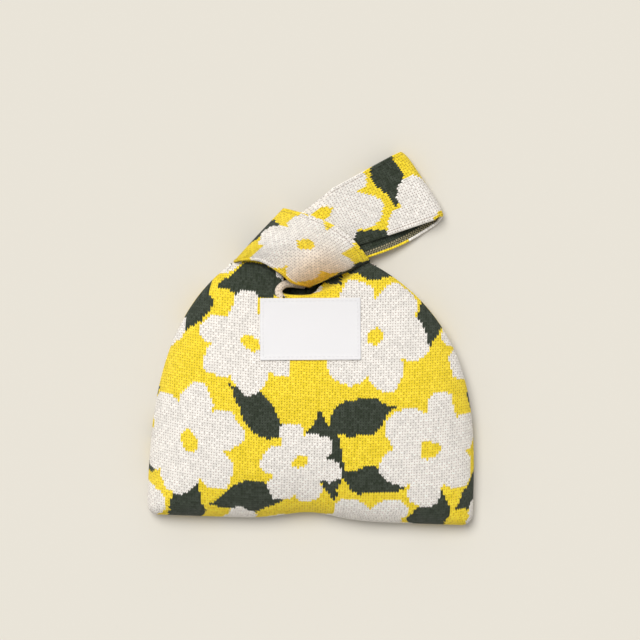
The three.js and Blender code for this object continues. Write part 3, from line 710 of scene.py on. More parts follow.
    def loop_layer(self, u, t, stagger, drawn_in, bow, z):
        """A straight stretch of the wrist loop: t from the knot to the fold."""
        c = lerp(self.half_handle, -self.half_handle, u)
        start = self.knot_point(self.free_along, c + LOOP_MIDDLE - stagger + drawn_in * u)
        plan = lerp(start[None], self.loop_end(c)[None], t[:, None, None])
        bowed = bow * u[None] * np.sin(np.pi * t)[:, None]
        return with_height(plan - bowed[..., None] * self.across, z)

    def loop_upper(self, u, t):
        sag = LOOP_SAG * np.sin(np.pi * t) ** 2
        return self.loop_layer(u, t, 0, HANDLE_DRAWN_IN, 0, (LOOP_HEIGHT - sag)[:, None])

    def loop_lower(self, u, t):
        run = t[:, None] * (self.loop_length - self.fold_radius) / lerp(*LOWER_LAYER_RISE, u**2)
        z = lerp(self.neck_bottom, 2 * CLEARANCE, ease(run))
        layer = self.loop_layer(u, t, LOOP_STAGGER, 0, LOOP_BOW, z)
        layer[..., :2] -= LOOP_FAN * t[:, None, None] * u[:, None] * self.across
        return layer

    def loop_fold(self, u, turn):
        """The fold at the loop's end: turn from 0, at the upper layer, to a half turn, at the lower."""
        end = self.loop_end(lerp(self.half_handle, -self.half_handle, u))
        plan = end[None] + self.fold_radius * np.sin(turn)[:, None, None] * self.fold_out
        plan = plan - LOOP_FAN * ((1 - np.cos(turn)) / 2)[:, None, None] * u[:, None] * self.across
        z = 2 * CLEARANCE + self.fold_radius * (1 + np.cos(turn))
        return with_height(plan, np.broadcast_to(z[:, None], plan.shape[:-1]))


# Cloth as a mesh
def grid_normals(grid, wrap):
    if wrap:
        du = np.roll(grid, -1, 1) - np.roll(grid, 1, 1)
    else:
        du = np.gradient(grid, axis=1)
    return unit(np.cross(du, np.gradient(grid, axis=0)))


def level_normals(normals, grid, edges):
    """Makes the normals level at the named edges of a grid, so that the wall there lies flat on a seam."""
    for edge in edges:
        row = {"left": np.s_[:, 0], "right": np.s_[:, -1], "bottom": np.s_[0]}[edge]
        tangent = np.gradient(grid[row], axis=0) * (1 if edge == "left" else -1)
        level = np.cross(tangent, [0, 0, 1])
        normals[row] = unit(level * np.sign((level * normals[row]).sum(-1, keepdims=True)))
    return normals


def round_rim(grid, rim, normals, radius, rows):
    """Turns the cloth in over the last stretch to a seam, as a sewn edge does. Past the rows, it goes along."""
    up = np.clip(np.abs(grid[..., 2] - rim), 0, radius)
    inward = radius - np.sqrt(radius**2 - (radius - up) ** 2)
    flat = normals * [1, 1, 0]
    shift = unit(flat) * (inward * (np.linalg.norm(flat, axis=-1) > LEVEL_LEAST))[..., None]
    shift[rows:] = shift[rows - 1]
    return grid - shift


def rolled_edge(grid, normals, row, radius, turn, steps):
    """The rows that continue a grid past its first or last row, rolling inward over a turn."""
    inner = grid[1] if row == 0 else grid[-2]
    ahead = unit(grid[row] - inner)
    angles = np.linspace(0, 1, steps + 1)[1:, None, None] * turn[:, None]
    rows = grid[row] + radius[:, None] * (ahead * np.sin(angles) - normals[row] * (1 - np.cos(angles)))
    return rows[::-1] if row == 0 else rows


def along_rows(grid):
    """How far each point of a grid lies along its column, in metres."""
    steps = np.linalg.norm(np.diff(grid, axis=0), axis=2)
    return np.concatenate([np.zeros((1, grid.shape[1])), np.cumsum(steps, axis=0)])


def corners(values):
    """The values of a grid at the four corners of each of its cells."""
    cells = [values[:-1, :-1], values[:-1, 1:], values[1:, 1:], values[1:, :-1]]
    return np.stack(cells, 2).reshape(-1, 4, values.shape[-1])


def borders(values, wrap):
    """The values of a grid along its closed edges, in the order that its outer face turns."""
    if wrap:
        return [values[0], values[-1, ::-1]]
    edges = [values[0, :-1], values[:-1, -1], values[-1, :0:-1], values[:0:-1, 0], values[0, :1]]
    return [np.concatenate(edges)]


def new_piece(name, points, faces, uv=None, marks=()):
    """An object of smooth faces, with its UV map and a float attribute for each mark."""
    mesh = bpy.data.meshes.new(name)
    mesh.from_pydata(points.reshape(-1, 3).tolist(), [], faces)
    if uv is not None:
        mesh.uv_layers.new(name="cloth").data.foreach_set("uv", uv.astype(np.float32).ravel())
    for mark, values in dict(marks).items():
        values = np.broadcast_to(values, len(mesh.vertices)).astype(np.float32)
        mesh.attributes.new(mark, "FLOAT", "POINT").data.foreach_set("value", values)
    mesh.shade_smooth()
    piece = bpy.data.objects.new(name, mesh)
    bpy.context.scene.collection.objects.link(piece)
    return piece


def cloth_object(name, grid, uv, thickness, origin, wrap=False, level=(), edge=1.0, normals=None, amount=0.0):
    """A closed sheet of cloth: the grid is its outer face, and its edges are rounded walls.

    Its walls at the level edges lie flat on a seam. The mesh carries its UV map in metres of cloth and three
    marks: inside (0 on the outer face and 1 on the inner), edge (how far a point lies from the nearest finished
    edge) and the painted shade mark (how much warm shade is painted on).
    """
    rows, columns = grid.shape[:2]
    if normals is None:
        normals = grid_normals(grid, wrap)
    inner = grid - normals * thickness
    index = np.arange(rows * columns).reshape(rows, columns, 1)
    if wrap:
        index = np.concatenate([index, index[:, :1]], axis=1)
    outward = np.zeros_like(grid)
    outward[0], outward[-1] = unit(grid[0] - grid[1]), unit(grid[-1] - grid[-2])
    if not wrap:
        outward[:, 0], outward[:, -1] = unit(grid[:, 0] - grid[:, 1]), unit(grid[:, -1] - grid[:, -2])
        for side, place in (("left", np.s_[:, 0]), ("right", np.s_[:, -1]), ("bottom", np.s_[0])):
            if side in level:
                outward[place] = 0
    count = rows * columns
    flat_grid, flat_inner, flat_out = grid.reshape(-1, 3), inner.reshape(-1, 3), outward.reshape(-1, 3)
    cells, places = corners(index)[..., 0], corners(uv)
    faces, face_places, middles, ring = [cells, cells[:, ::-1] + count], [places, places[:, ::-1]], [], []
    start = 2 * count
    for loop, loop_uv in zip(borders(index, wrap), borders(uv, wrap)):
        here, ahead = loop[:-1, 0], loop[1:, 0]
        here_uv, ahead_uv = loop_uv[:-1], loop_uv[1:]
        middles.append((flat_grid[here] + flat_inner[here]) / 2 + flat_out[here] * thickness * LIP_SHARE)
        middle = start + np.arange(len(here))
        middle_ahead = np.roll(middle, -1)
        faces.append(np.stack([ahead, here, middle, middle_ahead], -1))
        faces.append(np.stack([middle_ahead, middle, here + count, ahead + count], -1))
        face_places.append(np.stack([ahead_uv, here_uv, here_uv, ahead_uv], 1))
        face_places.append(face_places[-1][:, [0, 1, 1, 0]])
        ring.append(here)
        start += len(here)
    ring = np.concatenate(ring)
    points = np.concatenate([flat_grid, flat_inner, *middles]) + origin
    edge, amount = (np.broadcast_to(values, (rows, columns)).ravel() for values in (edge, amount))
    marks = {
        "inside": np.concatenate([np.zeros(count), np.ones(count), np.full(len(ring), 0.5)]),
        "edge": np.concatenate([edge, edge, np.zeros(len(ring))]),
        "amount": np.concatenate([amount, amount, np.zeros(len(ring))]),
    }
    piece = new_piece(name, points, np.concatenate(faces).tolist(), np.concatenate(face_places), marks)
    piece.data.validate()
    return piece


def unrolled(shape_height, plan):
    """Cloth coordinates of places in plan: the surface's length from the middle and up from the bottom."""
    step = UNROLL_STEP
    x, y = np.arange(*UNROLL_X, step), np.arange(*UNROLL_Y, step)
    slopes = np.gradient(shape_height(*np.meshgrid(x, y)), step)
    run_y, run_x = (
        np.cumsum(np.sqrt(1 + np.clip(slope, -STEEPEST, STEEPEST) ** 2), axis=axis) * step
        for axis, slope in enumerate(slopes)
    )
    run_x -= run_x[:, len(x) // 2 : len(x) // 2 + 1]
    row, column = (
        np.clip((plan[..., axis] - line[0]) / step, 0, len(line) - 1.001) for axis, line in ((1, y), (0, x))
    )
    i, j = column.astype(int), row.astype(int)
    fx, fy = column - i, row - j

    def read(table):
        low = lerp(table[j, i], table[j, i + 1], fx)
        return lerp(low, lerp(table[j + 1, i], table[j + 1, i + 1], fx), fy)

    return np.stack([read(run_x), read(run_y)], -1)


# Shader nodes
class Wire:
    """A node's output. A sum with it adds a math node."""

    def __init__(self, maker, socket):
        self.maker, self.socket = maker, socket

    def __add__(self, other):
        return self.maker.math("ADD", self, other)

    def __sub__(self, other):
        return self.maker.math("SUBTRACT", self, other)

    def __rsub__(self, other):
        return self.maker.math("SUBTRACT", other, self)

    def __mul__(self, other):
        return self.maker.math("MULTIPLY", self, other)

    def __truediv__(self, other):
        return self.maker.math("DIVIDE", self, other)

    def __pow__(self, other):
        return self.maker.math("POWER", self, other)


class NodeMaker:
    """Adds nodes to a tree, with each input given as a value or as another node's output."""

    def __init__(self, tree):
        self.tree = tree

    def give(self, node, inputs):
        for key, value in inputs.items():
            if isinstance(value, Wire):
                self.tree.links.new(value.socket, node.inputs[key])
            else:
                node.inputs[key].default_value = value

    def add(self, kind, inputs=(), output=0, **settings):
        """Adds a node and returns one of its outputs."""
        node = self.tree.nodes.new(kind)
        for name, value in settings.items():
            setattr(node, name, value)
        self.give(node, dict(inputs))
        return Wire(self, node.outputs[output])

    def group(self, tree, inputs):
        """Adds a node group and returns its outputs by name."""
        first = self.add("ShaderNodeGroup", inputs, node_tree=tree)
        return {socket.name: Wire(self, socket) for socket in first.socket.node.outputs}

    def math(self, operation, *values):
        return self.add("ShaderNodeMath", enumerate(values), operation=operation)

    def vector(self, operation, *values):
        output = "Value" if operation in ("LENGTH", "DOT_PRODUCT") else "Vector"
        return self.add("ShaderNodeVectorMath", enumerate(values), output, operation=operation)

    def join(self, x, y):
        return self.add("ShaderNodeCombineXYZ", {"X": x, "Y": y})

    def split(self, vector):
        return [self.add("ShaderNodeSeparateXYZ", {"Vector": vector}, axis) for axis in "XY"]

    def mix(self, factor, a, b, blend="MIX"):
        return self.add("ShaderNodeMix", {0: factor, 6: a, 7: b}, 2, data_type="RGBA", blend_type=blend)

    def grey(self, value):
        return self.add("ShaderNodeCombineColor", {"Red": value, "Green": value, "Blue": value})

    def step(self, value, low, high):
        """0 below low and 1 above high, or the other way round where low is the higher."""
        inputs = {"Value": value, "From Min": low, "From Max": high}
        return self.add("ShaderNodeMapRange", inputs, interpolation_type="SMOOTHSTEP")

    def bump(self, height, distance, strength=1.0):
        return self.add("ShaderNodeBump", {"Height": height, "Strength": strength, "Distance": distance})

    def mark(self, name):
        """One of the marks that cloth_object leaves on its mesh."""
        return self.add("ShaderNodeAttribute", output="Fac", attribute_name=name)

    def place(self):
        """The piece's own cloth coordinates, in millimetres."""
        return self.vector("MULTIPLY", self.add("ShaderNodeUVMap", uv_map="cloth"), (MM, MM, 0.0))


def made_once(kind, name):
    """Decorates the builder of a data-block, which is built once and found by its name after that."""

    def decorate(build):
        @functools.wraps(build)
        def find(*given):
            known = getattr(bpy.data, kind)
            return known[name] if name in known else build(name, *given)

        return find

    return decorate


def new_group(name, inputs, outputs):
    """An empty node group with the named sockets. Returns its maker, its inputs by name and its output node."""
    tree = bpy.data.node_groups.new(name, "ShaderNodeTree")
    for socket, kind, default in inputs:
        made = tree.interface.new_socket(socket, in_out="INPUT", socket_type=f"NodeSocket{kind}")
        made.default_value = default
    for socket, kind in outputs:
        tree.interface.new_socket(socket, in_out="OUTPUT", socket_type=f"NodeSocket{kind}")
    n = NodeMaker(tree)
    given = {socket.name: Wire(n, socket) for socket in tree.nodes.new("NodeGroupInput").outputs}
    return n, given, tree.nodes.new("NodeGroupOutput")


@made_once("node_groups", "Knit stitches")
def knit_group(name):
    """Plain knit: each stitch is a V of two legs, and every second one leaves a small hole at its foot."""
    inputs = [("Place", "Vector", ZERO), ("Wale", "Float", 1.6), ("Course", "Float", 1.7)]
    outputs = [("Height", "Float"), ("Stitch", "Vector"), ("Hole", "Float"), ("Tone", "Float")]
    n, given, sink = new_group(name, inputs, outputs)
    x, y = n.split(given["Place"])
    across = x / given["Wale"]
    column = n.math("FLOOR", across)
    aside = n.math("ABSOLUTE", across - column - 0.5)
    raised = y / given["Course"] - aside * LEG_SLANT
    row = n.math("FLOOR", raised)
    up = raised - row
    leg = 1.0 - ((aside - 0.25) * 4.0) ** 2.0
    yarn = 1.0 - n.math("ABSOLUTE", (up - 0.5) * 2.0) ** 3.0
    height = n.math("SQRT", n.math("MAXIMUM", leg, 0.0)) * n.math("MULTIPLY_ADD", yarn, 0.5, 0.5)
    every_second = n.math("MODULO", column + row + 4000.0, 2.0)
    near_foot = n.math("MINIMUM", up, 1.0 - up)
    from_foot = n.vector("LENGTH", n.join(aside * HOLE_SHAPE[0], near_foot * HOLE_SHAPE[1]))
    hole = n.step(from_foot, *HOLE_FADE) * every_second
    middle = n.join((column + 0.5) * given["Wale"], (row + STITCH_MIDDLE) * given["Course"])
    tone = n.add("ShaderNodeTexWhiteNoise", {"Vector": n.join(column, row)}, "Value", noise_dimensions="2D")
    n.give(sink, {"Height": height - hole * HOLE_DEPTH, "Stitch": middle, "Hole": hole, "Tone": tone})
    return n.tree


def from_centre(n, given):
    """The way from a motif's centre to the stitch, with the motif repeated over the tile."""
    high, low = (tuple(side * share for side in TILE) for share in (0.5, -0.5))
    return n.vector("WRAP", n.vector("SUBTRACT", given["Stitch"], given["Centre"]), high, low)


@made_once("node_groups", "Blossom")
def blossom_group(name):
    """A regular flower of six round petals with a round eye, repeated over the tile."""
    inputs = [("Stitch", "Vector", ZERO), ("Centre", "Vector", ZERO)]
    inputs += [("Radius", "Float", 30), ("Turn", "Float", 0)]
    n, given, sink = new_group(name, inputs, [("Petals", "Float"), ("Eye", "Float")])
    x, y = n.split(n.vector("DIVIDE", from_centre(n, given), n.join(given["Radius"], given["Radius"])))
    reach = n.vector("LENGTH", n.join(x, y))
    sector = n.math("WRAP", n.math("ARCTAN2", y, x) + given["Turn"], math.pi / 6, -math.pi / 6)
    along = (reach * n.math("COSINE", sector) - PETAL_MIDDLE) / PETAL_LENGTH
    aside = reach * n.math("SINE", sector) / PETAL_WIDTH
    petal = n.math("LESS_THAN", n.vector("LENGTH", n.join(along, aside)), 1.0)
    heart = n.math("LESS_THAN", reach, HEART)
    n.give(sink, {"Petals": n.math("MAXIMUM", petal, heart), "Eye": n.math("LESS_THAN", reach, EYE)})
    return n.tree


@made_once("node_groups", "Leaf")
def leaf_group(name):
    """A pointed oval, repeated over the tile."""
    inputs = [("Stitch", "Vector", ZERO), ("Centre", "Vector", ZERO), ("Turn", "Float", 0)]
    inputs += [("Length", "Float", 52), ("Width", "Float", 20)]
    n, given, sink = new_group(name, inputs, [("Leaf", "Float")])
    start = from_centre(n, given)
    cosine, sine = n.math("COSINE", given["Turn"]), n.math("SINE", given["Turn"])
    along = n.vector("DOT_PRODUCT", start, n.join(cosine, sine)) / (given["Length"] / 2.0)
    aside = n.vector("DOT_PRODUCT", start, n.join(sine * -1.0, cosine)) / (given["Width"] / 2.0)
    pointed = n.math("MAXIMUM", 1.0 - along * along, 0.0) ** LEAF_POINT
    n.give(sink, {"Leaf": n.math("LESS_THAN", n.math("ABSOLUTE", aside), pointed)})
    return n.tree


@made_once("node_groups", "Floral print")
def floral_group(name):
    """The print's colour at a stitch."""
    inputs = [("Stitch", "Vector", ZERO)]
    inputs += [(yarn, "Color", (0.5, 0.5, 0.5, 1)) for yarn in ("Ground", "Blossom", "Leaf")]
    n, given, sink = new_group(name, inputs, [("Colour", "Color")])
    noise = {"Vector": given["Stitch"], "Scale": DRIFT_SCALE, "Detail": 1.0}
    centred = n.vector("SUBTRACT", n.add("ShaderNodeTexNoise", noise, "Color"), (0.5, 0.5, 0.5))
    place = n.vector("MULTIPLY_ADD", centred, (DRIFT, DRIFT, 0.0), given["Stitch"])
    leaves, petals, eyes = [], [], []
    for centre, turn, length, width in LEAVES:
        leaf = {"Centre": (*centre, 0), "Turn": math.radians(turn), "Length": length, "Width": width}
        leaves.append(n.group(leaf_group(), {"Stitch": place, **leaf})["Leaf"])
    for centre, radius, turn in BLOSSOMS:
        blossom = {"Centre": (*centre, 0), "Radius": radius, "Turn": math.radians(turn)}
        made = n.group(blossom_group(), {"Stitch": place, **blossom})
        petals.append(made["Petals"])
        eyes.append(made["Eye"])
    colour = given["Ground"]
    for masks, yarn in ((leaves, "Leaf"), (petals, "Blossom"), (eyes, "Ground")):
        colour = n.mix(functools.reduce(lambda a, b: n.math("MAXIMUM", a, b), masks), colour, given[yarn])
    n.give(sink, {"Colour": colour})
    return n.tree


def new_material(name, roughness, sheen):
    """A material with a Principled surface, and its node maker."""
    material = bpy.data.materials.new(name)
    material.use_nodes = True
    surface = material.node_tree.nodes["Principled BSDF"]
    n = NodeMaker(material.node_tree)
    look = {"Roughness": roughness, "Sheen Weight": sheen, "Sheen Roughness": 0.5, "Specular IOR Level": 0.25}
    n.give(surface, look)
    return material, n, surface


def shaded(colour, share):
    """A colour for a node, made darker or kept."""
    return (*(share * c for c in colour), 1)


@made_once("materials", "printed_knit")
def floral_knit(name, context):
    """The double-faced knit: the print outside, dark green inside, and a speckled margin along its edges."""
    sizes, colours = context.scene.knot_bag_sizes, context.scene.knot_bag_colours
    material, n, surface = new_material(name, roughness=0.9, sheen=0.08)
    place, inner, from_edge = n.place(), n.mark("inside"), n.mark("edge")
    knit = n.group(knit_group(), {"Place": place, "Wale": sizes.wale * MM, "Course": sizes.course * MM})
    ground, blossom, leaf, margin = (
        shaded(yarn, 1) for yarn in (colours.ground, colours.blossom, colours.leaf, colours.margin)
    )
    yarns = {"Stitch": knit["Stitch"], "Ground": ground, "Blossom": blossom, "Leaf": leaf}
    outside = n.group(floral_group(), yarns)["Colour"]
    specks = n.add("ShaderNodeTexChecker", {"Vector": place, "Scale": 1 / SPECK}, "Fac")
    inside = n.mix(n.math("LESS_THAN", from_edge, MARGIN_WIDTH) * specks, leaf, margin)
    past_lip = n.step(inner, *WALL_FADE) * n.step(from_edge, *LIP_FADE)
    # Painted warm shade: where the painted shade mark is high, the outside is darkened and warmed.
    painted_shade = n.mix(n.mark("amount"), WHITE, PAINTED_WARM_SHADE)
    colour = n.mix(past_lip, n.mix(1.0, outside, painted_shade, "MULTIPLY"), inside)
    off_line = n.math("ABSOLUTE", from_edge - SELVEDGE)
    line = n.step(off_line, SELVEDGE_LINE, 0.0) * n.step(inner, *LINE_FADE) * SELVEDGE_DEPTH
    # Painted shade darkens the holes at the stitches' feet and the sewn line along an edge.
    colour = n.mix(1.0, colour, n.mix(n.math("MAXIMUM", knit["Hole"], line), WHITE, HOLE_PAINTED_SHADE), "MULTIPLY")
    stitch_shade, relief_shade, least_shade = SHADES
    relief = n.math("MULTIPLY_ADD", knit["Height"], relief_shade, least_shade)
    colour = n.mix(1.0, colour, n.grey(n.math("MULTIPLY_ADD", knit["Tone"], stitch_shade, relief)), "MULTIPLY")
    colour = n.mix(1.0, colour, n.grey(knit["Height"] * (knit["Tone"] * GLINT)), "ADD")
    relief = n.bump(knit["Height"] - line, sizes.relief, RELIEF_STRENGTH)
    n.give(surface, {"Base Color": colour, "Normal": relief})
    return material


def twisted(name, colour, roughness, sheen, dark, grain_scale, detail, height):
    """A yarn's or a thread's material, with the grain of its twist as its bump, and painted shade where that
    grain is low, between the plies.
    """
    material, n, surface = new_material(name, roughness, sheen)
    place = n.vector("MULTIPLY", n.add("ShaderNodeTexCoord", output="Object"), (MM, MM, MM))
    grain = n.add("ShaderNodeTexNoise", {"Vector": place, "Scale": grain_scale, "Detail": detail})
    # Painted shade: the colour falls to its dark share where the grain is low.
    plies = n.mix(grain, shaded(colour, dark), shaded(colour, 1))
    n.give(surface, {"Base Color": plies, "Normal": n.bump(grain, height)})
    return material


@made_once("materials", "twisted_seam_yarn")
def seam_yarn(name, context):
    """Dark green yarn of two twisted plies."""
    look = {"roughness": 0.95, "sheen": 0.3, "dark": 0.6, "grain_scale": 1.4, "detail": 2.0, "height": 0.0004}
    return twisted(name, context.scene.knot_bag_colours.leaf, **look)


@made_once("materials", "sewing_thread")
def label_thread(name, context):
    """Fine white thread."""
    look = {"roughness": 0.6, "sheen": 0.2, "dark": 0.8, "grain_scale": 6.0, "detail": 1.0, "height": 0.0001}
    return twisted(name, context.scene.knot_bag_colours.label, **look)


@made_once("materials", "woven_satin")
def satin_label(name, context):
    """Off-white satin, with its fine floats running across."""
    label = context.scene.knot_bag_colours.label
    material, n, surface = new_material(name, roughness=0.42, sheen=0.1)
    x, y = n.split(n.place())
    row = y / FLOAT_HEIGHT
    ridge = n.math("SINE", n.math("FRACT", row) * math.pi)
    shifted = x / FLOAT_LENGTH + n.math("FLOOR", row) * FLOAT_SHIFT
    height = ridge * n.step(n.math("FRACT", shifted), 0.0, FLOAT_DIP)
    colour = n.mix(height, shaded(label, FLOAT_SHADE), shaded(label, 1))
    n.give(surface, {"Base Color": colour, "Normal": n.bump(height, *FLOAT_RELIEF)})
    return material


# Pieces
def dress(piece, body, slot, material, *nodes):
    """Gives a finished piece its material, its body and the nodes that it stands for. The slot is not used."""
    piece.data.materials.append(material)
    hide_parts(*nodes)
    if body:
        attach(piece, body)


def bag_shape(context):
    return BagShape(context.scene.knot_bag_sizes)


def bead_points():
    """The points and faces of one short stitch, modelled as a stretched ball along its own Z axis."""
    bpy.ops.object.select_all(action="DESELECT")
    bpy.ops.mesh.primitive_uv_sphere_add(segments=BEAD[0], ring_count=BEAD[1], radius=1)
    ball = bpy.context.object
    points = np.array([point.co for point in ball.data.vertices])
    faces = sorted(list(face.vertices) for face in ball.data.polygons)
    bpy.data.objects.remove(ball)
    points[:, 2] = np.sign(points[:, 2]) * np.abs(points[:, 2]) ** BEAD_BLUNT
    return points, faces


def stitch_object(name, points, faces):
    """One mesh of many stitches: points has a row for each stitch."""
    all_faces = [[i + row * points.shape[1] for i in face] for row in range(len(points)) for face in faces]
    return new_piece(name, points, all_faces)


def join_into(piece, other):
    bpy.ops.object.select_all(action="DESELECT")
    other.select_set(True)
    piece.select_set(True)
    bpy.context.view_layer.objects.active = piece
    bpy.ops.object.join()


def hem_curl(shape):
    """The hem where it curls up into a tight roll, from inside the knot round the mouth's left end."""
    rows, count = CURL_GRID
    t = np.linspace(0, 1, rows)
    line = spline(np.array(CURL_PATH) + [*shape.root_low, 0], t)
    ahead = unit(np.gradient(line, axis=0))
    aside = unit(np.cross(ahead, [0, 0, 1.0]))
    radius = lerp(*CURL_RADIUS, ease((t - CURL_RUN_OUT) / (1 - CURL_RUN_OUT)))[:, None, None]
    turn = (2 * np.pi * np.arange(count) / count)[:, None]
    ring = aside[:, None] * np.cos(turn) + np.cross(aside, ahead)[:, None] * np.sin(turn)
    grid = line[:, None] + radius * ring
    index = np.arange(rows * count).reshape(rows, count, 1)
    cells = corners(np.concatenate([index, index[:, :1]], axis=1))[:, ::-1, 0]
    ends = [index[0, :, 0].tolist(), index[-1, ::-1, 0].tolist()]
    round_it = CURL_RADIUS[0] * 2 * np.pi * np.arange(count + 1) / count
    place = np.stack(np.meshgrid(round_it, along_rows(line[:, None]))[::-1], -1) + CURL_PRINT
    places = np.concatenate([corners(place)[:, ::-1].reshape(-1, 2), place[0, :-1], place[-1, -2::-1]])
    # The curl gets painted warm shade too.
    marks = {"edge": 1.0, "amount": CURL_PAINTED_SHADE}
    return new_piece("hem_curl", grid + shape.origin, cells.tolist() + ends, places, marks)


def strip_object(name, grid, shape):
    """A flat strip of turned-in cloth, with the grid as its upper face."""
    facing = np.cross(np.gradient(grid, axis=1), np.gradient(grid, axis=0))[2, grid.shape[1] // 2, 2]
    if facing < 0:
        grid = grid[:, ::-1]
    uv = np.stack([along_rows(grid.swapaxes(0, 1)).T, along_rows(grid)], -1)
    up = np.broadcast_to(np.array([0, 0, 1.0]), grid.shape)
    return cloth_object(name, grid, uv, SEAM_THICKNESS, shape.origin, normals=up)


def panel_object(name, grid, uv, shape, rows, side, straight):
    """A panel, turned in at its seams. Side is 1 for the front and -1 for the back.

    Past its rows, where it runs on under the band, straight keeps its side walls as they are at its corners.
    """
    rim = shape.rim_height(grid[..., 1]) + side * CLEARANCE / 2
    grid = round_rim(grid, rim, grid_normals(grid, False), SEAM_ROUND, rows)
    normals = level_normals(grid_normals(grid, False), grid, PANEL_SEAMS)
    if straight:
        normals[rows:, [0, -1]] = normals[rows - 1, [0, -1]]
    return cloth_object(name, grid, uv, shape.cloth, shape.origin, level=PANEL_SEAMS, normals=normals)


class KNOT_BAG_OT_front_panel(bpy.types.Operator):
    """Lays the front panel, with its hem rolled over at the mouth"""

    bl_idname = "knot_bag.front_panel"
    bl_label = "Front Panel"

    def execute(self, context):
        shape = bag_shape(context)
        u, v = closer_at_ends(FRONT_GRID[0], *MOUTH_PLACE), closer_at_ends(FRONT_GRID[1], *HEM_PLACE)
        top_edge = shape.front_top()(u)
        edge, roll = top_edge[:, :2], top_edge[:, 2:4]
        mouth, tight, tuck = (np.clip(column, 0, 1)[None, :, None] for column in top_edge[:, 4:].T)
        outward = unit(roll)
        plan = shape.panel_plan(edge, u, v)
        body = with_height(plan, shape.front_surface(plan[..., 0], plan[..., 1]))
        # Past its edge the cloth runs on under the band, rolls over at the mouth, or turns under at the root.
        s = np.linspace(0, 1, HEM_ROWS + 1)[1:, None, None]
        top, out = body[-1][None], with_height(outward, np.zeros(len(u)))[None]
        down = np.array([0, 0, -1.0])
        reach = shape.shoulder_reach(edge)[:, None]
        under_band = top + out * reach * s + down * SHOULDER_DROP * ease(SHOULDER_DROP_RATE * s)
        angle = np.pi * np.minimum(s / HEM_TURN_SHARE, 1)
        back = lerp(HEM_FLAP, HEM_FLAP_LEAST, tight) * np.maximum(s - HEM_TURN_SHARE, 0) / (1 - HEM_TURN_SHARE)
        length = np.linalg.norm(roll, axis=-1)[None, :, None]
        rolled = top + out * (length * np.sin(angle) - back) + down * shape.hem * (1 - np.cos(angle))
        run = shape.root_tip - shape.root_low
        share = np.clip((edge - shape.root_low) @ run / (run @ run), 0, 1)
        root = with_height(shape.root_line(share, BAND_GAP / 2), lerp(TUCK_LOW, TOP_RIM_HEIGHT, share))[None]
        fall = np.broadcast_to(ease(s / TUCK_WALL), s.shape)
        turned = lerp(top, root, np.concatenate([s, s, fall], -1))
        fold = lerp(under_band, lerp(rolled, turned, tuck), mouth)
        grid = np.concatenate([body, fold])
        past = along_rows(np.concatenate([top, fold]))[1:, :, None]
        uv = unrolled(shape.front_height, plan) + FRONT_PRINT
        uv = np.concatenate([uv, uv[-1] + outward * past])
        piece = panel_object("front_panel_knit", grid, uv, shape, len(v), 1, straight=False)
        join_into(piece, hem_curl(shape))
        dress(piece, "bag", "floral_knit", floral_knit(context), "front_panel")
        return {"FINISHED"}


class KNOT_BAG_OT_back_panel(bpy.types.Operator):
    """Lays the back panel, flat on the table and curled up to its seams"""

    bl_idname = "knot_bag.back_panel"
    bl_label = "Back Panel"

    def execute(self, context):
        shape = bag_shape(context)
        u, v = closer_at_ends(BACK_GRID[0]), closer_at_ends(BACK_GRID[1])
        edge = shape.back_top()(u)
        plan = shape.panel_plan(edge, u, v)
        outward = unit(turned_left(np.gradient(edge, axis=0)))
        s = np.linspace(0, 1, BACK_EDGE_ROWS + 1)[1:, None, None]
        left = 1 - ease((edge[:, 0] - shape.root_low[0] + TUCK_BLEND) / TUCK_BLEND)[:, None]
        reach = lerp(BAND_GAP / 2, shape.shoulder_reach(edge)[:, None], left)
        plan = np.concatenate([plan, edge + outward * reach * s])
        x, y = plan[..., 0], plan[..., 1]
        height = shape.back_height(x, np.minimum(y, edge[:, 1]))
        across, start, up = BACK_SLACK_WAVES
        waves = 1 + np.sin(x / across + start) * np.sin(y / up)
        slack = BACK_SLACK * waves * (1 - ease(height / BACK_SLACK_HEIGHT))
        grid = with_height(plan, height + slack - CLEARANCE / 2)[:, ::-1]
        uv = unrolled(shape.back_height, plan)[:, ::-1] * [-1, 1]
        piece = panel_object("back_panel_knit", grid, uv, shape, len(v), -1, straight=True)
        dress(piece, "bag", "floral_knit", floral_knit(context), "back_panel")
        return {"FINISHED"}


class KNOT_BAG_OT_long_handle(bpy.types.Operator):
    """Runs the long handle from the shoulder through the knot, round the wrist loop and back"""

    bl_idname = "knot_bag.long_handle"
    bl_label = "Long Handle"

    def execute(self, context):
        shape = bag_shape(context)
        u = closer_at_ends(HANDLE_COLUMNS)
        neck, straight = np.linspace(NECK_START, 1, NECK_ROWS), np.linspace(0, 1, LOOP_ROWS)[1:]
        turn = np.linspace(0, np.pi, FOLD_ROWS)[1:-1]
        rows = [
            shape.neck_front(u, neck),
            shape.loop_upper(u, straight),
            shape.loop_fold(u, turn),
            shape.loop_lower(u, straight[::-1]),
            shape.neck_back(u, neck[::-1]),
        ]
        grid = np.concatenate(rows)
        width = 2 * shape.half_handle
        along = along_rows(grid)[:, HANDLE_COLUMNS // 2]
        edge = np.minimum(u, 1 - u) * width
        wave = EDGE_WAVE * np.sin(along / EDGE_WAVE_LENGTH)[:, None] * np.abs(2 * u - 1) ** 3
        roll = EDGE_ROLL * (1 - quarter_round(edge / EDGE_ROLL))
        grid = grid + grid_normals(grid, False) * (wave - roll)[..., None]
        uv = np.stack(np.broadcast_arrays(width * (u - 0.5), along[:, None]), -1) + HANDLE_PRINT
        piece = cloth_object("long_handle_knit", grid, uv, shape.cloth, shape.origin, edge=edge)
        nodes = ("long_handle_neck_front", "long_handle_neck_back", "wrist_loop_upper", "wrist_loop_lower")
        dress(piece, None, "floral_knit", floral_knit(context), *nodes)
        bend = [shape.knot_point(shape.free_along + side * BEND_WIDTH / 2, 0) for side in (-1, 1)]
        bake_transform(piece)
        return {"FINISHED"}


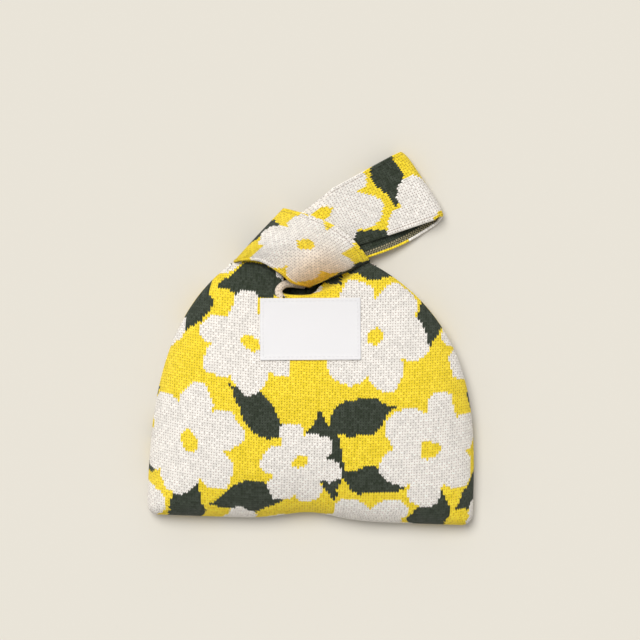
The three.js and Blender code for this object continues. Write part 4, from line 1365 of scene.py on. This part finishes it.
class KNOT_BAG_OT_short_handle(bpy.types.Operator):
    """Wraps the short handle round the long one, with its lower edge rolled under"""

    bl_idname = "knot_bag.short_handle"
    bl_label = "Short Handle"

    def execute(self, context):
        shape = bag_shape(context)
        count, rows = BAND_GRID
        turn = 1 - np.arange(count) / count
        share = band_share(turn)
        over = np.where(turn < 0.5, lens(2 * share - 1, *BAND_OVER), 0)
        radius = lerp(*BAND_LIP, over)
        width = np.linalg.norm(shape.band_upper_edge(share) - shape.band_lower_edge(share), axis=-1)
        first = BAND_RIDGE * closer_at_start(rows)
        v = np.concatenate([first, np.linspace(BAND_RIDGE, 1, rows)[1:]])[:, None]
        v = lerp(radius / width, 1, v)
        grid = shape.band_surface(np.broadcast_to(turn, v.shape), v)
        normals = grid_normals(grid, True)
        bead = quarter_round(2 * over) * BAND_BEAD[0] * crest(along_rows(grid), BAND_BEAD[1])
        grid = grid + normals * bead[..., None]
        lip = rolled_edge(grid, normals, 0, radius, BAND_LIP_TURN * lerp(BAND_LIP_LEAST, 1, over), LIP_ROWS)
        grid = np.concatenate([lip, grid])
        up = along_rows(grid)
        edge = np.minimum(up, up[-1] - up)
        middle = grid[len(grid) // 2]
        steps = np.linalg.norm(np.roll(middle, -1, 0) - middle, axis=1)
        around = np.concatenate([[0], np.cumsum(steps)])
        aside = up - up[len(lip)]
        aside = np.concatenate([aside, aside[:, :1]], axis=1)
        uv = np.stack([-aside, np.broadcast_to(around, aside.shape)], -1) + BAND_PRINT
        # Painted warm shade on the band: strongest at its root and its lower edge, on the half over the long
        # handle.
        shade_root_reach, shade_edge_start, shade_strength = BAND_PAINTED_SHADE
        from_edge = ease((up / up[-1] - shade_edge_start) / (1 - shade_edge_start))
        amount = shade_strength * (1 - ease(share / shade_root_reach)) * ease(2 * over) * (1 - from_edge)
        settings = {"wrap": True, "edge": edge, "amount": amount}
        piece = cloth_object("short_handle_knit", grid, uv, shape.cloth, shape.origin, **settings)
        dress(piece, "bag", "floral_knit", floral_knit(context), "short_handle")
        return {"FINISHED"}


class KNOT_BAG_OT_body_seams(bpy.types.Operator):
    """Sews the two panels together: the turned-in allowances, and the yarn across the join"""

    bl_idname = "knot_bag.body_seams"
    bl_label = "Body Seams"

    def execute(self, context):
        shape = bag_shape(context)
        inset = shape.cloth + 4 * CLEARANCE
        bottom_reach = shape.half - CORNER_RADIUS - inset - SEAM_WIDTH
        left, right = (corner[1] - SEAM_STOP for corner in shape.top_corners())
        up = closer_at_ends(SEAM_POINTS)
        y_left, y_right = (lerp(CORNER_RADIUS + inset, end, up) for end in (left, right))
        x = np.linspace(-bottom_reach, bottom_reach, SEAM_POINTS)
        lines = {
            "left_side_seam": (np.stack([shape.left_edge(y_left), y_left], -1), -1),
            "right_side_seam": (np.stack([shape.right_edge(y_right), y_right], -1), 1),
            "bottom_seam": (np.stack([x, shape.bottom_edge(x)], -1), 1),
        }
        points, faces = bead_points()
        for name, (line, side) in lines.items():
            inward = side * turned_left(unit(np.gradient(line, axis=0)))
            across = np.linspace(inset, inset + SEAM_WIDTH, SEAM_ROWS)[:, None, None]
            plan = line + inward * across
            height = (shape.front_height(*plan.T) + shape.back_height(*plan.T)).T / 2 + SEAM_THICKNESS / 2
            piece = strip_object(name + "_knit", with_height(plan, height), shape)
            run = along_rows(line[:, None])[:, 0]
            count = round(run[-1] / SEAM_STITCH)
            place = (np.arange(count) + 0.5) / count * run[-1]
            pick = [np.interp(place, run, table) for table in (*line.T, *inward.T)]
            middle, inner = np.stack(pick[:2], -1), unit(np.stack(pick[2:], -1))
            centre = with_height(middle + inner * SEAM_ROUND, shape.rim_height(middle[:, 1]))
            inner = with_height(inner, np.zeros(count))
            level = np.cross([0, 0, 1.0], inner)
            along = unit(level + np.array([0, 0, SEAM_SLANT]))
            aside = np.cross(inner, along)
            beads = (
                centre[:, None]
                + points[:, 2:] * along[:, None] * SEAM_STITCH * SEAM_STITCH_HALF
                + points[:, :1] * aside[:, None] * SEAM_YARN
                + points[:, 1:2] * np.cross(along, aside)[:, None] * SEAM_YARN
            )
            stitches = stitch_object(name + "_stitches", beads + shape.origin, faces)
            join_into(piece, stitches)
            dress(piece, "bag", "seam_yarn", seam_yarn(context), name)
        return {"FINISHED"}


class KNOT_BAG_OT_handle_seams(bpy.types.Operator):
    """Joins the ends of each handle, inside its fold"""

    bl_idname = "knot_bag.handle_seams"
    bl_label = "Handle Seams"

    def execute(self, context):
        shape = bag_shape(context)
        inset = shape.cloth + 4 * CLEARANCE
        c = lerp(-shape.half_handle, shape.half_handle, np.linspace(*LOOP_SEAM_SPAN, RIDGE_POINTS))
        tip = shape.loop_end(c) + shape.fold_radius * shape.fold_out
        t = np.linspace(*BAND_SEAM_SPAN, RIDGE_POINTS)
        fold = lerp(shape.fold_low, shape.fold_high, t[:, None])
        loop_middle = np.full(len(c), 2 * CLEARANCE + shape.fold_radius)
        lines = {
            "wrist_loop_seam": (tip, -shape.fold_out, loop_middle, "wrist_loop"),
            "short_handle_seam": (fold, -shape.across, shape.band_middle(t), "bag"),
        }
        for name, (line, inward, height, body) in lines.items():
            share = np.linspace(inset, inset + RIDGE_WIDTH, SEAM_ROWS)[:, None, None]
            grid = with_height(line + inward * share, height + SEAM_THICKNESS / 2)
            piece = strip_object(name + "_knit", grid, shape)
            dress(piece, body, "seam_yarn", seam_yarn(context), name)
        return {"FINISHED"}


class KNOT_BAG_OT_label(bpy.types.Operator):
    """Sews a bare satin label on the front, below the mouth"""

    bl_idname = "knot_bag.label"
    bl_label = "Label"

    def execute(self, context):
        sizes = context.scene.knot_bag_sizes
        shape = BagShape(sizes)
        width, height, thickness = sizes.label_width, sizes.label_height, sizes.label_thickness
        right = np.array([math.cos(LABEL_TILT), math.sin(LABEL_TILT)])
        turn = np.array([right, turned_left(right)])
        middle = np.array([LABEL_SHIFT, shape.hem_height - LABEL_BELOW_HEM - height / 2])

        def on_front(flat):
            """The label's upper face over a place on the flat label."""
            place = flat @ turn + middle
            below, run = LABEL_LIFT_START
            lift = LABEL_LIFT * ease((-flat[..., 1] - height * below) / (height * run))
            across, start, up = LABEL_PUFF_WAVES
            puff = LABEL_PUFF * np.sin(flat[..., 0] / across + start) * np.cos(flat[..., 1] / up)
            stand = LABEL_STAND + thickness + lift + puff
            return with_height(place, shape.front_surface(place[..., 0], place[..., 1]) + stand)

        x, y = (np.linspace(-side / 2, side / 2, count) for side, count in zip((width, height), LABEL_GRID))
        flat = np.stack(np.meshgrid(x, y), -1)
        piece = cloth_object("label_satin", on_front(flat), flat, thickness, shape.origin)
        dress(piece, "bag", "satin_label", satin_label(context), "label")

        # The thread shows as one short stitch after another, along all four edges.
        points, faces = bead_points()
        half = np.array([width, height]) / 2 - STITCH_INSET
        turns = half * [[-1, -1], [1, -1], [1, 1], [-1, 1], [-1, -1]]
        stitches = []
        for start, end in zip(turns[:-1], turns[1:]):
            length = np.linalg.norm(end - start)
            direction = (end - start) / length
            count = round(length / (STITCH_LENGTH + STITCH_GAP))
            centre = lerp(start, end, ((np.arange(count) + 0.5) / count)[:, None])[:, None]
            along = points[:, 2:] * direction * STITCH_LENGTH / 2
            aside = points[:, :1] * turned_left(-direction) * THREAD_RADIUS
            placed = on_front(centre + along + aside)
            sink, rise = THREAD_SINK
            placed[..., 2] += THREAD_RADIUS * (points[:, 1] - sink * points[:, 2] ** 2 + rise)
            stitches.append(placed + shape.origin)
        thread = stitch_object("label_stitches", np.concatenate(stitches), faces)
        dress(thread, "bag", "label_thread", label_thread(context), "label_stitching")
        return {"FINISHED"}


class KNOT_BAG_OT_stage(bpy.types.Operator):
    """Sets up the pale table, the soft light from the upper left and the camera straight above"""

    bl_idname = "knot_bag.stage"
    bl_label = "Stage"

    def execute(self, context):
        colours = context.scene.knot_bag_colours
        bpy.ops.object.select_all(action="DESELECT")
        bpy.ops.mesh.primitive_plane_add(size=TABLE_SIZE)
        table = context.object
        table.name = "table"
        material, n, surface = new_material("table_paper", roughness=0.95, sheen=0.0)
        n.give(surface, {"Base Color": shaded(colours.table, 1)})
        table.data.materials.append(material)

        world = bpy.data.worlds.new("studio")
        world.use_nodes = True
        context.scene.world = world
        background = world.node_tree.nodes["Background"]
        NodeMaker(world.node_tree).give(background, {"Color": WHITE, "Strength": AMBIENT})

        bpy.ops.object.light_add(type="SUN")
        window = context.object
        window.name = "window"
        window.data.energy = SUN
        window.data.angle = SUN_SPREAD
        window.rotation_euler = Vector(SUN_FROM).to_track_quat("Z", "Y").to_euler()

        bpy.ops.object.camera_add(location=(*VIEW_CENTRE, CAMERA_HEIGHT), rotation=(0, 0, VIEW_TURN))
        eye = context.object
        eye.data.sensor_width = SENSOR_WIDTH * MM
        eye.data.lens = eye.data.sensor_width * (CAMERA_HEIGHT - CAD_HIGH.z / 3) / VIEW_WIDTH
        eye.data.clip_end = VIEW_REACH
        context.scene.camera = eye
        context.scene.view_settings.view_transform = "Standard"
        return {"FINISHED"}


class KNOT_BAG_PT_build(bpy.types.Panel):
    """The bag's sizes, colours and pieces"""

    bl_label = "Knot Bag"
    bl_idname = "KNOT_BAG_PT_build"
    bl_space_type = "VIEW_3D"
    bl_region_type = "UI"
    bl_category = "Knot Bag"

    def draw(self, context):
        for title, settings in (
            ("Sizes", context.scene.knot_bag_sizes),
            ("Colours", context.scene.knot_bag_colours),
        ):
            box = self.layout.box()
            box.label(text=title)
            for name in settings.__annotations__:
                box.prop(settings, name)
        for make in OPERATORS:
            self.layout.operator(make.bl_idname)


OPERATORS = (
    KNOT_BAG_OT_stage,
    KNOT_BAG_OT_back_panel,
    KNOT_BAG_OT_front_panel,
    KNOT_BAG_OT_body_seams,
    KNOT_BAG_OT_long_handle,
    KNOT_BAG_OT_short_handle,
    KNOT_BAG_OT_handle_seams,
    KNOT_BAG_OT_label,
)
CLASSES = (KnotBagSizes, KnotBagColours, *OPERATORS, KNOT_BAG_PT_build)


def register():
    for item in CLASSES:
        bpy.utils.register_class(item)
    bpy.types.Scene.knot_bag_sizes = bpy.props.PointerProperty(type=KnotBagSizes)
    bpy.types.Scene.knot_bag_colours = bpy.props.PointerProperty(type=KnotBagColours)


def unregister():
    del bpy.types.Scene.knot_bag_colours
    del bpy.types.Scene.knot_bag_sizes
    for item in reversed(CLASSES):
        bpy.utils.unregister_class(item)


def main():
    """Builds the bag and its stage."""
    register()
    for make in OPERATORS:
        getattr(bpy.ops.knot_bag, make.bl_idname.split(".")[1])()


if __name__ == "__main__":
    main()
